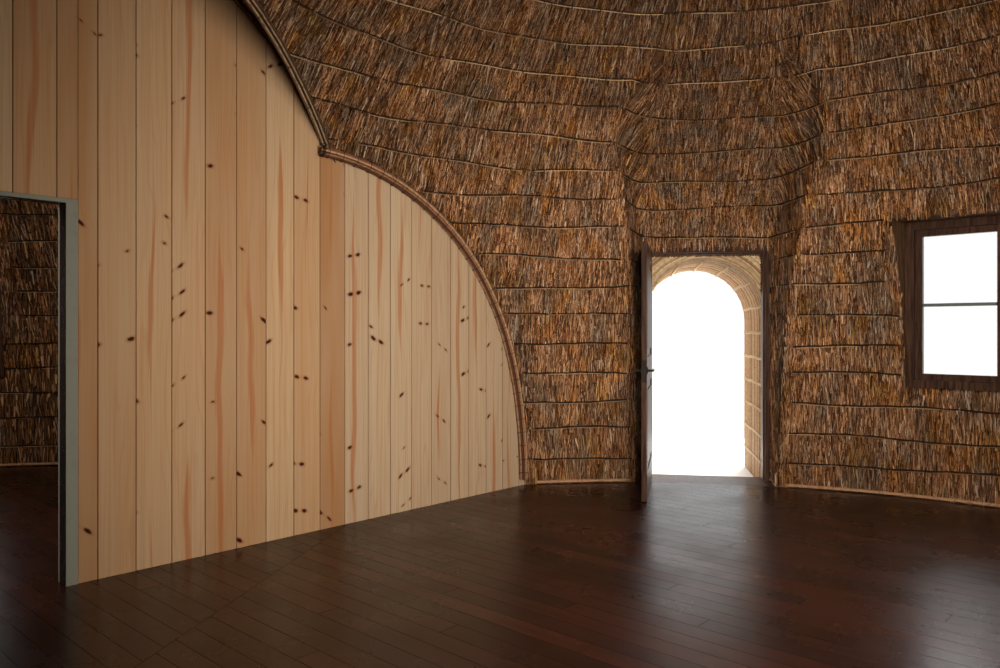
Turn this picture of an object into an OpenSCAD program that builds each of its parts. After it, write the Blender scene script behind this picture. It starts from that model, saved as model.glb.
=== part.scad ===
// Thatched beehive hut: two equal domes that run into each other, an arched
// porch, a boarded partition across the second dome, and a timber floor.
// Millimetres. The origin is on the ground at the centre of the main dome.
// +Z is up and the entrance faces -Y. The second dome lies towards +X.
// Left and right are as seen from in front of the entrance.

/* [Domes] */
// Inside radius of each dome at the ground
dome_r = 3800; // [3500:50:4200]
// Inside height of each dome from the ground
dome_h = 4200; // [4000:50:4600]
// Exponent of the dome's section: a higher one makes a fuller shoulder
dome_round = 2.5; // [2.3:0.1:2.8]
// Distance between the two dome centres
dome_gap = 5000; // [4800:50:5400]
// Thickness of the thatch
thatch_t = 240; // [200:10:300]
// Height inside at which the wall pieces end and the roof pieces begin
wall_top = 2600; // [2580:10:2800]
// Radius of the crown cap on the inside
crown_r = 520; // [400:20:700]
// Height of the bound knot on each crown
knot_h = 190; // [120:10:260]

/* [Groin arch] */
// Thickness of the arch between the domes, along X
arch_t = 50; // [40:5:100]
// How far the arch stands in from the main dome's face
arch_in = 6; // [4:1:20]
// How far the main dome's thatch reaches past the arch's middle
arch_lip = 100; // [60:10:140]

/* [Floor] */
// Height of the floor above the ground
floor_h = 120; // [80:10:160]

/* [Doorway] */
// Clear width between the jambs
door_w = 980; // [850:10:1050]
// Clear height from the floor to the head
door_h = 1960; // [1900:10:2050]
// How far the frame's inner face stands outside the dome's inside radius at the ground
door_out = 180; // [140:10:260]
// Width of the jambs and the head as seen from the front
jamb_w = 60; // [50:5:80]
// Depth of the frame
frame_d = 120; // [90:5:150]
// Depth of the rebate that the leaf closes into, beside the leaf
rebate = 15; // [10:1:20]
// How far the threshold stands out in front of the frame
sill_out = 60; // [20:5:100]

/* [Door bay] */
// Depth of the bay over the doorway, from the frame to where it runs out into the dome
bay_d = 1900; // [1700:50:2100]
// Rise of the bay above the frame over that depth
bay_h = 1440; // [1300:20:1500]
// Exponent of that rise: a lower one starts steeper
bay_curve = 0.62; // [0.55:0.01:0.75]
// How much wider each side of the bay grows with each millimetre of depth
bay_flare = 0.2; // [0.15:0.01:0.3]
// Radius of the bay's top corners at the frame
bay_corner = 60; // [30:10:80]
// Radius of the saddle's shoulders outside, at the frame
saddle_corner = 560; // [450:10:600]

/* [Door leaf] */
// Thickness of the leaf
leaf_t = 40; // [35:1:50]
// Gap round the leaf
leaf_gap = 6; // [5:1:8]
// Angle to which the leaf stands open
leaf_open = 93.5; // [80:0.5:93.5]
// Width of the stiles and the top rail
stile_w = 110; // [80:5:140]
// Height of the lock rail and the bottom rail
rail_h = 200; // [150:10:240]
// Height of the lock rail's middle above the leaf's foot
lock_z = 985; // [900:5:1080]
// Depth of the panels below the stiles, on each side
panel_in = 11; // [6:1:14]

/* [Hinges and lock] */
// Radius of the hinge knuckles
knuckle_r = 9; // [7:0.5:10]
// Radius of the hinge pins
pin_r = 5; // [4:0.5:6]
// Height of each hinge's knuckle
knuckle_h = 60; // [40:5:80]
// Length of the lever handles
lever_l = 115; // [90:5:140]
// Radius of the lever handles
lever_r = 9; // [7:0.5:11]

/* [Porch] */
// Length of the porch from the door frame to its mouth
porch_l = 1350; // [1100:50:1700]
// Half width of the passage, and the radius of its arch
porch_r = 540; // [520:5:560]
// Height above the floor at which the passage starts to arch
porch_spring = 1400; // [1350:10:1450]
// Thickness of the porch walls
porch_t = 200; // [190:10:260]
// Extra height of the thatch over the passage
porch_over = 140; // [140:10:220]
// Radius of the bound roll round the mouth
hoop_r = 55; // [40:5:80]

/* [Windows] */
// Direction of each window from its dome's centre, from +X
window_az = 236.5; // [230:0.5:239]
// How far the frame's inner face stands inside the dome's inside radius at the ground
window_in = 160; // [120:10:200]
// Width of the frame
window_w = 1360; // [1200:20:1500]
// Height of the frame
window_h = 1260; // [1150:10:1300]
// Height of the frame's foot above the floor
window_sill = 860; // [800:10:900]
// Depth of the frame
window_depth = 120; // [90:5:140]
// Width of the frame's members
window_bar = 60; // [45:5:75]
// Width of the sash members
sash_bar = 48; // [40:2:60]
// Thickness of a sash
sash_t = 44; // [38:2:56]
// Width of the glazing bars
glazing_bar = 24; // [18:2:32]
// Thickness of the glass
glass_t = 6; // [4:1:8]
// Number of lights in each window
lights = 2; // [2:1:3]
// How far the thatch brow reaches past the frame's outer face
brow_out = 110; // [80:10:160]
// Depth of the brow from its front back into the dome
brow_d = 800; // [700:20:900]
// How much the brow swells sideways over that depth
brow_swell = 230; // [150:10:260]

/* [Partition] */
// Turn of the partition's face from the +X direction
partition_turn = -32.9; // [-36:0.5:-30]
// Distance from the main dome's centre to the partition's face
partition_d = 3170; // [3120:10:3220]
// Thickness of the partition
partition_t = 90; // [70:5:120]
// Near side of the inner doorway, along the partition
inner_door_y = 1448; // [1350:2:1500]
// Clear width of the inner doorway
inner_door_w = 800; // [700:10:900]
// Clear height of the inner doorway above the floor
inner_door_h = 1945; // [1900:5:2050]
// Width of the inner doorway's jambs
inner_jamb = 57; // [45:1:70]
// Height of the inner doorway's head
inner_head = 22; // [18:2:60]
// How far the jambs stand out from each face of the partition
inner_proud = 12; // [6:1:20]
// Radius of the grass roll along the partition's arched edge
roll_r = 38; // [25:1:50]

/* [Hidden] */

// Clearance between pieces that are laid against each other
fit = 2;
// Steps of a dome's section from the ground to the crown
section_steps = 16;
// Larger than the hut, for cutting with half spaces
far = 20000;
$fn = 64;
// Sides of a full turn of a dome
round_fn = 256;

thatch_color = [0.62, 0.42, 0.22];
roof_color = [0.56, 0.38, 0.20];
reed_color = [0.70, 0.52, 0.30];
pine_color = [0.85, 0.66, 0.42];
floor_color = [0.26, 0.12, 0.08];
timber_color = [0.30, 0.17, 0.10];
metal_color = [0.35, 0.33, 0.30];
grey_green = [0.62, 0.64, 0.58];
glass_color = [0.75, 0.85, 0.88, 0.4];

// Distances from a dome's centre
door_y = dome_r + door_out;
porch_y = door_y + frame_d + porch_l;
window_d = dome_r - window_in;

// Heights above the ground
door_head_z = floor_h + door_h;
frame_top_z = door_head_z + jamb_w;
spring_z = floor_h + porch_spring;
window_z = floor_h + window_sill;

// The doorway's opening through the thatch
rough_w = door_w + 2 * jamb_w + 2 * fit;
rough_z = frame_top_z + fit;

// The middle of the groin arch
joint_x = dome_gap / 2;

// A dome's section: an angle of 0 is the ground and 90 is the crown
function section(angle, r, h) = [r * cos(angle), h * pow(sin(angle), 2 / dome_round)];
// The angle of the section at a height, and at a radius
function angle_at(z, h) = asin(pow(z / h, dome_round / 2));
function angle_of(r, full_r) = acos(r / full_r);
// Points along the section between two angles
function stretch(a, b, r, h) =
    let (count = max(1, round(section_steps * abs(b - a) / 90)))
    [for (i = [0 : count]) section(a + (b - a) * i / count, r, h)];
function reversed(list) = [for (i = [len(list) - 1 : -1 : 0]) list[i]];
function but_first(list) = [for (i = [1 : len(list) - 1]) list[i]];

wall_angle = angle_at(wall_top, dome_h);
crown_angle = angle_of(crown_r, dome_r);

// The whole section, with a point wherever the wall, roof and crown pieces meet
function full_section(r, h) = concat(
    stretch(0, wall_angle, r, h),
    but_first(stretch(wall_angle, crown_angle, r, h)),
    but_first(stretch(crown_angle, 90, r, h))
);

// The solid inside a dome's inner face, less a gap
module dome_core(gap = 0) {
    rotate_extrude($fn = round_fn)
        polygon(concat([[0, 0]], full_section(dome_r - gap, dome_h - gap)));
}

// The solid inside a dome's outer face, grown by a gap
module dome_bulk(gap = 0) {
    rotate_extrude($fn = round_fn)
        polygon(concat([[0, 0]], full_section(dome_r + thatch_t + gap, dome_h + thatch_t + gap)));
}

// A piece of a dome's shell between two directions and two section angles
module shell_piece(from_az, to_az, low, high) {
    rotate([0, 0, from_az])
        rotate_extrude(angle = to_az - from_az, $fn = round_fn)
            polygon(concat(
                stretch(low, high, dome_r, dome_h),
                reversed(stretch(low, high, dome_r + thatch_t, dome_h + thatch_t))
            ));
}

// Keeps what is on the main dome's side of the groin arch
module before_arch(gap = 0) {
    intersection() {
        children();
        translate([joint_x - arch_t / 2 - gap - far, -far / 2, -far / 2])
            cube([far, far, far]);
    }
}

// The room that the bay opens in the thatch, from its floor up. With a margin it is the
// bay's outer face, which starts at the frame's outer face.
module bay_body(margin, low) {
    start_y = margin > 0 ? -door_y - frame_d : -door_y;
    first_corner = margin > 0 ? saddle_corner : bay_corner;
    hull()
        for (share = [0, 0.06, 0.16, 0.33, 0.6, 1]) {
            y = start_y + share * bay_d;
            half = rough_w / 2 + bay_flare * share * bay_d + margin;
            corner = first_corner + (0.85 * half - first_corner) * share;
            corner_z = rough_z + bay_h * pow(share, bay_curve) + margin - corner;
            translate([-half, y, low]) cube([2 * half, 1, corner_z - low]);
            for (x = [corner - half, half - corner])
                translate([x, y, corner_z])
                    rotate([-90, 0, 0]) cylinder(r = corner, h = 1, $fn = 32);
        }
}

// Cuts the whole bay out of a piece of the dome
module around_bay() {
    difference() {
        children();
        bay_body(thatch_t, -fit);
    }
}

// Turns a piece of the main dome into the matching piece of the second dome
module on_side_dome() {
    translate([dome_gap, 0, 0]) mirror([1, 0, 0]) children();
}

// The upright slot of a window through the wall
module window_slot(low = -far / 2, high = far / 2) {
    rotate([0, 0, window_az])
        translate([0, -window_w / 2 - fit, low])
            cube([far, window_w + 2 * fit, high - low]);
}

module wall_piece(from_az, to_az) {
    color(thatch_color)
        before_arch() shell_piece(from_az, to_az, 0, wall_angle);
}

module roof_piece(from_az, to_az) {
    color(roof_color)
        before_arch() shell_piece(from_az, to_az, wall_angle, crown_angle);
}

// A half ellipse that stands across a window's outward direction
module brow_plate(d, foot, half, rise) {
    translate([d, 0, foot])
        rotate([90, 0, -90])
            linear_extrude(height = 1)
                polygon([for (a = [0 : 10 : 180]) [half * cos(a), rise * sin(a)]]);
}

// The arched brow of thatch that shelters a window's head and swells into the dome
module window_brow() {
    front_d = window_d + window_depth + brow_out;
    foot = window_z + 0.4 * window_h;
    half = 0.7 * window_w;
    rise = 0.87 * window_h;
    difference() {
        rotate([0, 0, window_az])
            hull() {
                brow_plate(front_d, foot, half, rise);
                brow_plate(front_d - brow_d, foot - brow_swell, half + brow_swell, rise + 2 * brow_swell);
            }
        dome_bulk();
        difference() {
            dome_bulk(fit / 2);
            window_slot(window_z, wall_top);
        }
        window_slot(0, window_z + window_h + fit);
    }
}

module wall_under_window() {
    color(thatch_color)
        intersection() {
            shell_piece(window_az - 25, window_az + 25, 0, wall_angle);
            window_slot(0, window_z);
        }
}

module wall_over_window() {
    color(thatch_color)
        union() {
            intersection() {
                shell_piece(window_az - 25, window_az + 25, 0, wall_angle);
                window_slot(window_z + window_h + fit, far / 2);
            }
            window_brow();
        }
}

module crown() {
    color(roof_color)
        rotate_extrude($fn = round_fn)
            polygon(concat(
                stretch(crown_angle, 90, dome_r, dome_h),
                [[0, dome_h + thatch_t + knot_h],
                 [0.16 * crown_r, dome_h + thatch_t + 0.94 * knot_h],
                 [0.22 * crown_r, dome_h + thatch_t + 0.72 * knot_h],
                 [0.17 * crown_r, dome_h + thatch_t + 0.45 * knot_h],
                 [0.28 * crown_r, dome_h + thatch_t + 0.12 * knot_h]],
                [for (p = reversed(stretch(crown_angle, 90, dome_r + thatch_t, dome_h + thatch_t)))
                    if (p[0] > 0.3 * crown_r) p]
            ));
}

// The arch between the domes with the lip of the main dome's thatch, grown by a gap for
// what passes round it. The lip hangs in under the second dome.
module groin_arch_body(gap = 0) {
    difference() {
        union() {
            intersection() {
                union() {
                    dome_bulk();
                    translate([dome_gap, 0, 0]) dome_bulk();
                }
                translate([joint_x - arch_t / 2 - gap, -far / 2, -1]) cube([arch_t + 2 * gap, far, far]);
            }
            intersection() {
                translate([dome_gap, 0, 0]) dome_core(fit - gap);
                translate([joint_x, -far / 2, -1]) cube([arch_lip + gap, far, far]);
            }
        }
        dome_core(arch_in + gap);
    }
}

module groin_arch() {
    color(reed_color) groin_arch_body();
}

module floor_main() {
    color(floor_color)
        difference() {
            intersection() {
                dome_core(fit);
                translate([joint_x - far, -far / 2, 0]) cube([far, far, floor_h]);
            }
            groin_arch_body(fit);
        }
}

module floor_side() {
    color(floor_color)
        difference() {
            intersection() {
                translate([dome_gap, 0, 0]) dome_core(fit);
                translate([joint_x, -far / 2, 0]) cube([far, far, floor_h]);
            }
            groin_arch_body(fit);
        }
}

// An outline with upright sides and a round arch, in X and Z
module arch_outline(half, spring) {
    union() {
        translate([-half, 0]) square([2 * half, spring]);
        translate([0, spring]) circle(r = half, $fn = 96);
    }
}

// Extrudes an outline in X and Z from one distance to another in front of the dome
module along_porch(near, distant) {
    translate([0, -near, 0])
        rotate([90, 0, 0])
            linear_extrude(height = distant - near)
                children();
}

// The porch's thatch before it is split into its sides and arch
module porch_body() {
    difference() {
        along_porch(door_y + frame_d, porch_y)
            arch_outline(porch_r + porch_t, spring_z + porch_over);
        along_porch(0, far)
            arch_outline(porch_r, spring_z);
        translate([-door_w / 2 - jamb_w, -door_y - frame_d - sill_out - fit, -1])
            cube([door_w + 2 * jamb_w, frame_d + sill_out, floor_h + fit + 1]);
    }
}

module porch_side(x_sign) {
    color(thatch_color)
        intersection() {
            porch_body();
            translate([x_sign > 0 ? 0 : -far, -far, 0]) cube([far, far, spring_z]);
        }
}

module porch_arch() {
    color(thatch_color)
        intersection() {
            porch_body();
            translate([-far / 2, -far, spring_z]) cube([far, far, far]);
        }
}

// The bound roll round the porch mouth, flat where it lies on the thatch
module porch_hoop() {
    hoop_mid = porch_r + hoop_r;
    color(reed_color)
        translate([0, -porch_y, 0]) {
            translate([0, 0, spring_z])
                rotate([90, 0, 0])
                    rotate_extrude(angle = 180, $fn = 96)
                        translate([hoop_mid, 0]) half_disc(hoop_r);
            for (x_sign = [-1, 1])
                translate([x_sign * hoop_mid, 0, 0])
                    rotate([0, 0, 180])
                        linear_extrude(height = spring_z)
                            half_disc(hoop_r);
        }
}

module half_disc(r) {
    intersection() {
        circle(r = r, $fn = 32);
        translate([-r, 0]) square([2 * r, r]);
    }
}

// The frame with its head, jambs, rebate and threshold
module door_frame() {
    outer_half = door_w / 2 + jamb_w;
    color(timber_color)
        union() {
            difference() {
                translate([-outer_half, -door_y - frame_d, floor_h])
                    cube([2 * outer_half, frame_d, frame_top_z - floor_h]);
                translate([-door_w / 2, -door_y - frame_d - 1, floor_h - 1])
                    cube([door_w, frame_d + 2, door_h + 1]);
                translate([-door_w / 2 - rebate, -door_y - leaf_t - leaf_gap, floor_h - 1])
                    cube([door_w + 2 * rebate, leaf_t + leaf_gap + 1, door_h + rebate + 1]);
            }
            difference() {
                translate([-outer_half, -door_y - frame_d - sill_out, 0])
                    cube([2 * outer_half, frame_d + sill_out + thatch_t, floor_h]);
                translate([0, 0, -1]) cylinder(r = dome_r, h = floor_h + 2, $fn = round_fn);
            }
        }
}

// The leaf's own frame has its origin on the hinge line, at the leaf's foot.
// It is drawn shut, and leaf_at_rest() swings it open.
pin_side = 4;
pin_out = 12;
pin_x = door_w / 2 + rebate - leaf_gap + pin_side;
pin_y = -door_y + pin_out;
leaf_z = floor_h + leaf_gap;
leaf_w = door_w + 2 * rebate - 2 * leaf_gap;
leaf_h = door_h + rebate - 2 * leaf_gap;
hinge_heights = [180, leaf_h / 2 - 60, leaf_h - 240];

module leaf_at_rest() {
    translate([pin_x, pin_y, leaf_z]) rotate([0, 0, -leaf_open]) children();
}

// A block given by its corner nearest the free edge, the shut leaf's outside face and the foot
module leaf_block(x, y, z, size) {
    translate([x - pin_side - leaf_w, y - pin_out - leaf_t, z]) cube(size);
}

spindle_x = 62;
faceplate_h = 160;
faceplate_t = 3;
faceplate_w = 24;
spindle_r = 7;
rose_r = 26;
rose_t = 8;

// A panel sunk into one face of the leaf, with a flat field raised in its middle
module sunk_panel(z, height, y) {
    panel_w = leaf_w - 2 * stile_w;
    margin = 60;
    difference() {
        leaf_block(stile_w, y, z, [panel_w, panel_in + 1, height]);
        leaf_block(stile_w + margin, y - 1, z + margin,
            [panel_w - 2 * margin, panel_in + 3, height - 2 * margin]);
    }
}

module door_leaf() {
    top_z = lock_z + rail_h / 2;
    low_z = lock_z - rail_h / 2;
    color(timber_color)
        leaf_at_rest()
            difference() {
                leaf_block(0, 0, 0, [leaf_w, leaf_t, leaf_h]);
                for (y = [-1, leaf_t - panel_in]) {
                    sunk_panel(rail_h, low_z - rail_h, y);
                    sunk_panel(top_z, leaf_h - stile_w - top_z, y);
                }
                translate([spindle_x - pin_side - leaf_w, -pin_out + 1, lock_z])
                    rotate([90, 0, 0]) cylinder(r = spindle_r + 0.5, h = leaf_t + 2);
                leaf_block(-1, (leaf_t - faceplate_w) / 2, lock_z - faceplate_h / 2,
                    [faceplate_t + 1, faceplate_w, faceplate_h]);
            }
}

// One lever with its rose, standing out along +Y from a face at y = 0
module lever() {
    stand = 42;
    rotate([-90, 0, 0]) cylinder(r = rose_r, h = rose_t);
    rotate([-90, 0, 0]) cylinder(r = lever_r, h = stand);
    translate([0, stand, 0]) sphere(r = lever_r);
    translate([0, stand, 0]) rotate([0, 90, 0]) cylinder(r = lever_r, h = lever_l);
    translate([lever_l, stand, 0]) sphere(r = lever_r);
}

module door_lock() {
    color(metal_color)
        leaf_at_rest() {
            leaf_block(0, (leaf_t - faceplate_w) / 2, lock_z - faceplate_h / 2,
                [faceplate_t, faceplate_w, faceplate_h]);
            translate([spindle_x - pin_side - leaf_w, 0, lock_z]) {
                translate([0, -pin_out, 0]) rotate([90, 0, 0]) cylinder(r = spindle_r, h = leaf_t);
                translate([0, -pin_out, 0]) lever();
                translate([0, -pin_out - leaf_t, 0]) mirror([0, 1, 0]) lever();
            }
        }
}

// The leaf's half of each hinge: a knuckle on the pin and a strap on the leaf's face
module door_hinges() {
    strap_t = 4;
    strap_l = 90;
    color(metal_color)
        leaf_at_rest()
            for (z = hinge_heights)
                translate([0, 0, z])
                    difference() {
                        union() {
                            cylinder(r = knuckle_r, h = knuckle_h);
                            translate([-pin_side - strap_l, -pin_out, 0])
                                cube([strap_l + pin_side, strap_t, knuckle_h]);
                        }
                        translate([0, 0, -1]) cylinder(r = pin_r + 0.5, h = knuckle_h + 2);
                    }
}

// The frame's half of each hinge: a pin that stands on a foot fixed to the frame
module frame_pintles() {
    foot_h = 26;
    color(metal_color)
        translate([pin_x, pin_y, leaf_z])
            for (z = hinge_heights)
                translate([0, 0, z - foot_h - 1]) {
                    cylinder(r = knuckle_r, h = foot_h);
                    cylinder(r = pin_r, h = foot_h + knuckle_h - 4);
                    translate([rebate - leaf_gap, -pin_out, 0])
                        cube([jamb_w - rebate - 2 * pin_side, pin_out, foot_h]);
                    translate([0, -knuckle_r, 0])
                        cube([rebate, 2 * knuckle_r - 4, foot_h]);
                }
}

// Places a window piece: X goes out through the wall, Y along it, Z up from the frame's foot
module at_window() {
    rotate([0, 0, window_az]) translate([window_d, 0, window_z]) children();
}

// Each light's clear width and height between the frame's members
light_w = (window_w - (lights + 1) * window_bar) / lights;
light_h = window_h - 2 * window_bar;
sash_x = (window_depth - sash_t) / 2;
module at_each_light() {
    for (i = [0 : lights - 1])
        translate([0, -window_w / 2 + window_bar + i * (light_w + window_bar), window_bar])
            children();
}

module window_frame_body() {
    board_out = 90;
    board_t = 36;
    difference() {
        union() {
            translate([0, -window_w / 2, 0]) cube([window_depth, window_w, window_h]);
            translate([window_depth - 1, -window_w / 2, 0])
                cube([board_out + 1, window_w, board_t]);
        }
        at_each_light()
            translate([-1, 0, 0]) cube([window_depth + 2, light_w, light_h]);
    }
}

module sash_body() {
    inner_w = light_w - 2 * fit - 2 * sash_bar;
    inner_h = light_h - fit - 2 * sash_bar;
    glass_x = (sash_t - glass_t) / 2;
    translate([sash_x, fit, 0])
        difference() {
            cube([sash_t, light_w - 2 * fit, light_h - fit]);
            translate([-1, sash_bar, sash_bar])
                cube([glass_x + glass_t + 1, inner_w, inner_h]);
            for (half = [0, 1])
                translate([0, sash_bar, sash_bar + half * (inner_h + glazing_bar) / 2])
                    cube([sash_t + 1, inner_w, (inner_h - glazing_bar) / 2]);
        }
}

module pane() {
    translate([sash_x + (sash_t - glass_t) / 2, fit + sash_bar + 1, sash_bar])
        cube([glass_t, light_w - 2 * fit - 2 * sash_bar - 2, light_h - fit - 2 * sash_bar - 1]);
}

module window_frame() {
    color(timber_color) at_window() window_frame_body();
}

module window_sashes() {
    color(timber_color) at_window() at_each_light() sash_body();
}

module window_glass() {
    color(glass_color) at_window() at_each_light() pane();
}

module side_window_frame() {
    color(timber_color)
        on_side_dome() at_window() {
            window_frame_body();
            at_each_light() {
                sash_body();
                translate([sash_x, 0, 0]) cube([sash_t, fit + 1, light_h]);
                translate([sash_x, light_w - fit - 1, 0]) cube([sash_t, fit + 1, light_h]);
                translate([sash_x, 0, light_h - fit - 1]) cube([sash_t, light_w, fit + 1]);
            }
        }
}

module side_window_glass() {
    color(glass_color) on_side_dome() at_window() at_each_light() pane();
}

// Places a partition piece: X goes out through the partition, Y along it
module at_partition() {
    rotate([0, 0, partition_turn]) translate([partition_d, 0, 0]) children();
}

// Keeps what fits under the two domes and round the groin arch
module under_domes() {
    difference() {
        intersection() {
            children();
            union() {
                dome_core(fit);
                translate([dome_gap, 0, 0]) dome_core(fit);
            }
        }
        groin_arch_body(fit);
    }
}

inner_open_w = inner_door_w + 2 * inner_jamb;
inner_open_y = inner_door_y - inner_jamb;
inner_open_z = floor_h + inner_door_h + inner_head;

module partition_slab(y, z, width) {
    color(pine_color)
        under_domes()
            at_partition()
                translate([0, y, z]) cube([partition_t, width, dome_h]);
}

module partition_right() {
    partition_slab(inner_open_y - far / 2, floor_h, far / 2);
}

module partition_left() {
    partition_slab(inner_open_y + inner_open_w, floor_h, far / 2);
}

module partition_over_doorway() {
    partition_slab(inner_open_y, inner_open_z, inner_open_w);
}

module inner_door_frame() {
    color(grey_green)
        at_partition()
            difference() {
                translate([-inner_proud, inner_open_y + fit / 2, floor_h])
                    cube([partition_t + 2 * inner_proud, inner_open_w - fit, inner_door_h + inner_head - fit / 2]);
                translate([-inner_proud - 1, inner_door_y, floor_h - 1])
                    cube([partition_t + 2 * inner_proud + 2, inner_door_w, inner_door_h + 1]);
            }
}

// A round rod along points of a plane, given as [along, up], with its radius across the plane
module plane_rod(path, r, sides) {
    last = len(path) - 1;
    function unit(v) = v / norm(v);
    function heading(i) = unit(path[min(i + 1, last)] - path[max(i - 1, 0)]);
    rings = [for (i = [0 : last])
        let (d = heading(i))
        [for (k = [0 : sides - 1])
            let (a = 360 * k / sides, off = r * cos(a))
            [r * sin(a), path[i][0] - d[1] * off, path[i][1] + d[0] * off]]];
    points = [for (ring = rings) for (p = ring) p];
    skin = [for (i = [0 : last - 1]) for (k = [0 : sides - 1])
        let (n = (k + 1) % sides, a = i * sides, b = (i + 1) * sides)
        each [[a + k, a + n, b + n], [a + k, b + n, b + k]]];
    ends = [[for (k = [sides - 1 : -1 : 0]) k], [for (k = [0 : sides - 1]) last * sides + k]];
    polyhedron(points = points, faces = concat(skin, ends));
}

// The roll in the corner between the partition's face and the main dome
roll_x = partition_d - roll_r - fit;
roll_inset = 1.35 * roll_r + fit + arch_in;
roll_end = (roll_x * cos(partition_turn) - joint_x - arch_lip) / -sin(partition_turn);
function roll_along(angle) = sqrt(pow(dome_r * cos(angle) - roll_inset, 2) - roll_x * roll_x);
roll_top = angle_of(norm([roll_end, roll_x]) + roll_inset, dome_r);
roll_foot = angle_at(floor_h, dome_h);

module partition_roll() {
    color(reed_color)
        rotate([0, 0, partition_turn])
            translate([roll_x, 0, 0])
                plane_rod([for (i = [0 : section_steps])
                    let (a = roll_foot + (roll_top - roll_foot) * i / section_steps)
                    [-roll_along(a), section(a, dome_r, dome_h)[1] + (i == 0 ? fit / 2 : 0)]], roll_r, 12);
}

module main_wall_front_right() {
    around_bay() wall_piece(270, 360);
}

module main_wall_front_left() {
    around_bay()
        difference() {
            wall_piece(window_az, 270);
            window_slot();
        }
}

module main_roof_front() {
    around_bay() roof_piece(225, 315);
}

// The saddle of thatch between the dome and the porch, round the door frame
module door_saddle() {
    color(thatch_color)
        difference() {
            bay_body(thatch_t, 0);
            bay_body(0, floor_h);
            dome_core();
            translate([-rough_w / 2, -far, -1]) cube([rough_w, far, rough_z + 1]);
        }
}

module main_wall_left() {
    difference() {
        wall_piece(175, window_az);
        window_slot();
    }
}

module side_wall_front() {
    on_side_dome()
        difference() {
            wall_piece(window_az, 360);
            window_slot();
        }
}

module side_wall_right() {
    on_side_dome()
        difference() {
            wall_piece(150, window_az);
            window_slot();
        }
}

floor_main();
floor_side();
main_wall_front_right();
main_wall_front_left();
door_saddle();
wall_under_window();  // main_wall_under_window
wall_over_window();  // main_wall_over_window
main_wall_left();
wall_piece(105, 175);  // main_wall_back
wall_piece(0, 105);  // main_wall_back_right
main_roof_front();
roof_piece(135, 225);  // main_roof_left
roof_piece(45, 135);  // main_roof_back
roof_piece(-45, 45);  // main_roof_right
crown();  // main_crown
side_wall_front();
on_side_dome() wall_under_window();  // side_wall_under_window
on_side_dome() wall_over_window();  // side_wall_over_window
side_wall_right();
on_side_dome() wall_piece(0, 150);  // side_wall_back
on_side_dome() roof_piece(225, 315);  // side_roof_front
on_side_dome() roof_piece(135, 225);  // side_roof_right
on_side_dome() roof_piece(45, 135);  // side_roof_back
on_side_dome() roof_piece(-45, 45);  // side_roof_left
on_side_dome() crown();  // side_crown
groin_arch();
porch_side(-1);  // porch_left
porch_side(1);  // porch_right
porch_arch();
porch_hoop();
door_frame();
door_leaf();
door_lock();
door_hinges();
frame_pintles();
window_frame();
window_sashes();
window_glass();
side_window_frame();
side_window_glass();
partition_left();
partition_over_doorway();
partition_right();
partition_roll();
inner_door_frame();
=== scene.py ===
"""Looks of the thatched twin-dome beehive hut: straw, ties, reeds, boards, finishes, light and camera."""

from math import acos, asin, atan2, cos, hypot, pi, radians, sin

import bpy
import numpy as np
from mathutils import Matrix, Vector
from mathutils.bvhtree import BVHTree

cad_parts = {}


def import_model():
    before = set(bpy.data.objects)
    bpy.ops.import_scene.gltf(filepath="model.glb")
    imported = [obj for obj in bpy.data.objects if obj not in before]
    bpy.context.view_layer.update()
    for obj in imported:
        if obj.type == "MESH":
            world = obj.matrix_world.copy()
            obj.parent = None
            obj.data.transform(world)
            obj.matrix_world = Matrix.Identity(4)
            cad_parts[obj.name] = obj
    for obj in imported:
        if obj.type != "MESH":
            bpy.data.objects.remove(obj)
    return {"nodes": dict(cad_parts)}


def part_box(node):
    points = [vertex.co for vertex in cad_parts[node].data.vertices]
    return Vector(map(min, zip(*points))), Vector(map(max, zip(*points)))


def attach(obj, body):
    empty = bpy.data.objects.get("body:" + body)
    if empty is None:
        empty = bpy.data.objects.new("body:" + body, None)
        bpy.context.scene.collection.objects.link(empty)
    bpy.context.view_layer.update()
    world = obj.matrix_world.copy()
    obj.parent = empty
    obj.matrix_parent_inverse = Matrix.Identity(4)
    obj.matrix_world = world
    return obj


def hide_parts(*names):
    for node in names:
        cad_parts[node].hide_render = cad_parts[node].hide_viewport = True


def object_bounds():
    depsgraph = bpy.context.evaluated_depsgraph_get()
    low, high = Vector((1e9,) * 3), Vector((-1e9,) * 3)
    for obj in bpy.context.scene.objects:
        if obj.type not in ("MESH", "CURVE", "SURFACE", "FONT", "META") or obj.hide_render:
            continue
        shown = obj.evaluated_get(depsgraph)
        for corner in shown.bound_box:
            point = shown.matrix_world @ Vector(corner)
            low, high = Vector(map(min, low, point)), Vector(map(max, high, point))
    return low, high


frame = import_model()
cad_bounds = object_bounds()
BOX = np.array([list(v) for v in cad_bounds])

# The domes, as the solids have them, in metres
DOME_R = 3.8
DOME_H = 4.2
DOME_ROUND = 2.5
DOME_GAP = 5.0
THATCH_T = 0.24
CENTRES = {"main": 0.0, "side": DOME_GAP}
JOINT_X = DOME_GAP / 2
ARCH_IN = 0.006
LIP_X = JOINT_X + 0.1

# The partition: its room face stands this far from the main dome's centre
PARTITION_TURN = radians(-32.9)
PARTITION_D = 3.17
PARTITION_T = 0.09
ROLL_R = 0.038
ROLL_INSET = 1.35 * ROLL_R + 0.002 + ARCH_IN

# Heights and widths read from the solids
FLOOR_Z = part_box("floor_main")[1].z
FRAME_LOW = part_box("door_frame")[0]
PORCH_LOW, PORCH_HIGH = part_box("porch_arch")
SPRING_Z = PORCH_LOW.z
PORCH_R = 0.54
HEAD_Z = FLOOR_Z + 1.96
DOORWAY_Y = -3.98
FRAME_HALF = 0.485

# What counts as a dome's face, seen from this height, and the bay over the door
SLACK = 0.02
EYE_Z = 1.2
BAY_HALF = 0.9
BAY_Y = -2.6

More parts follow.
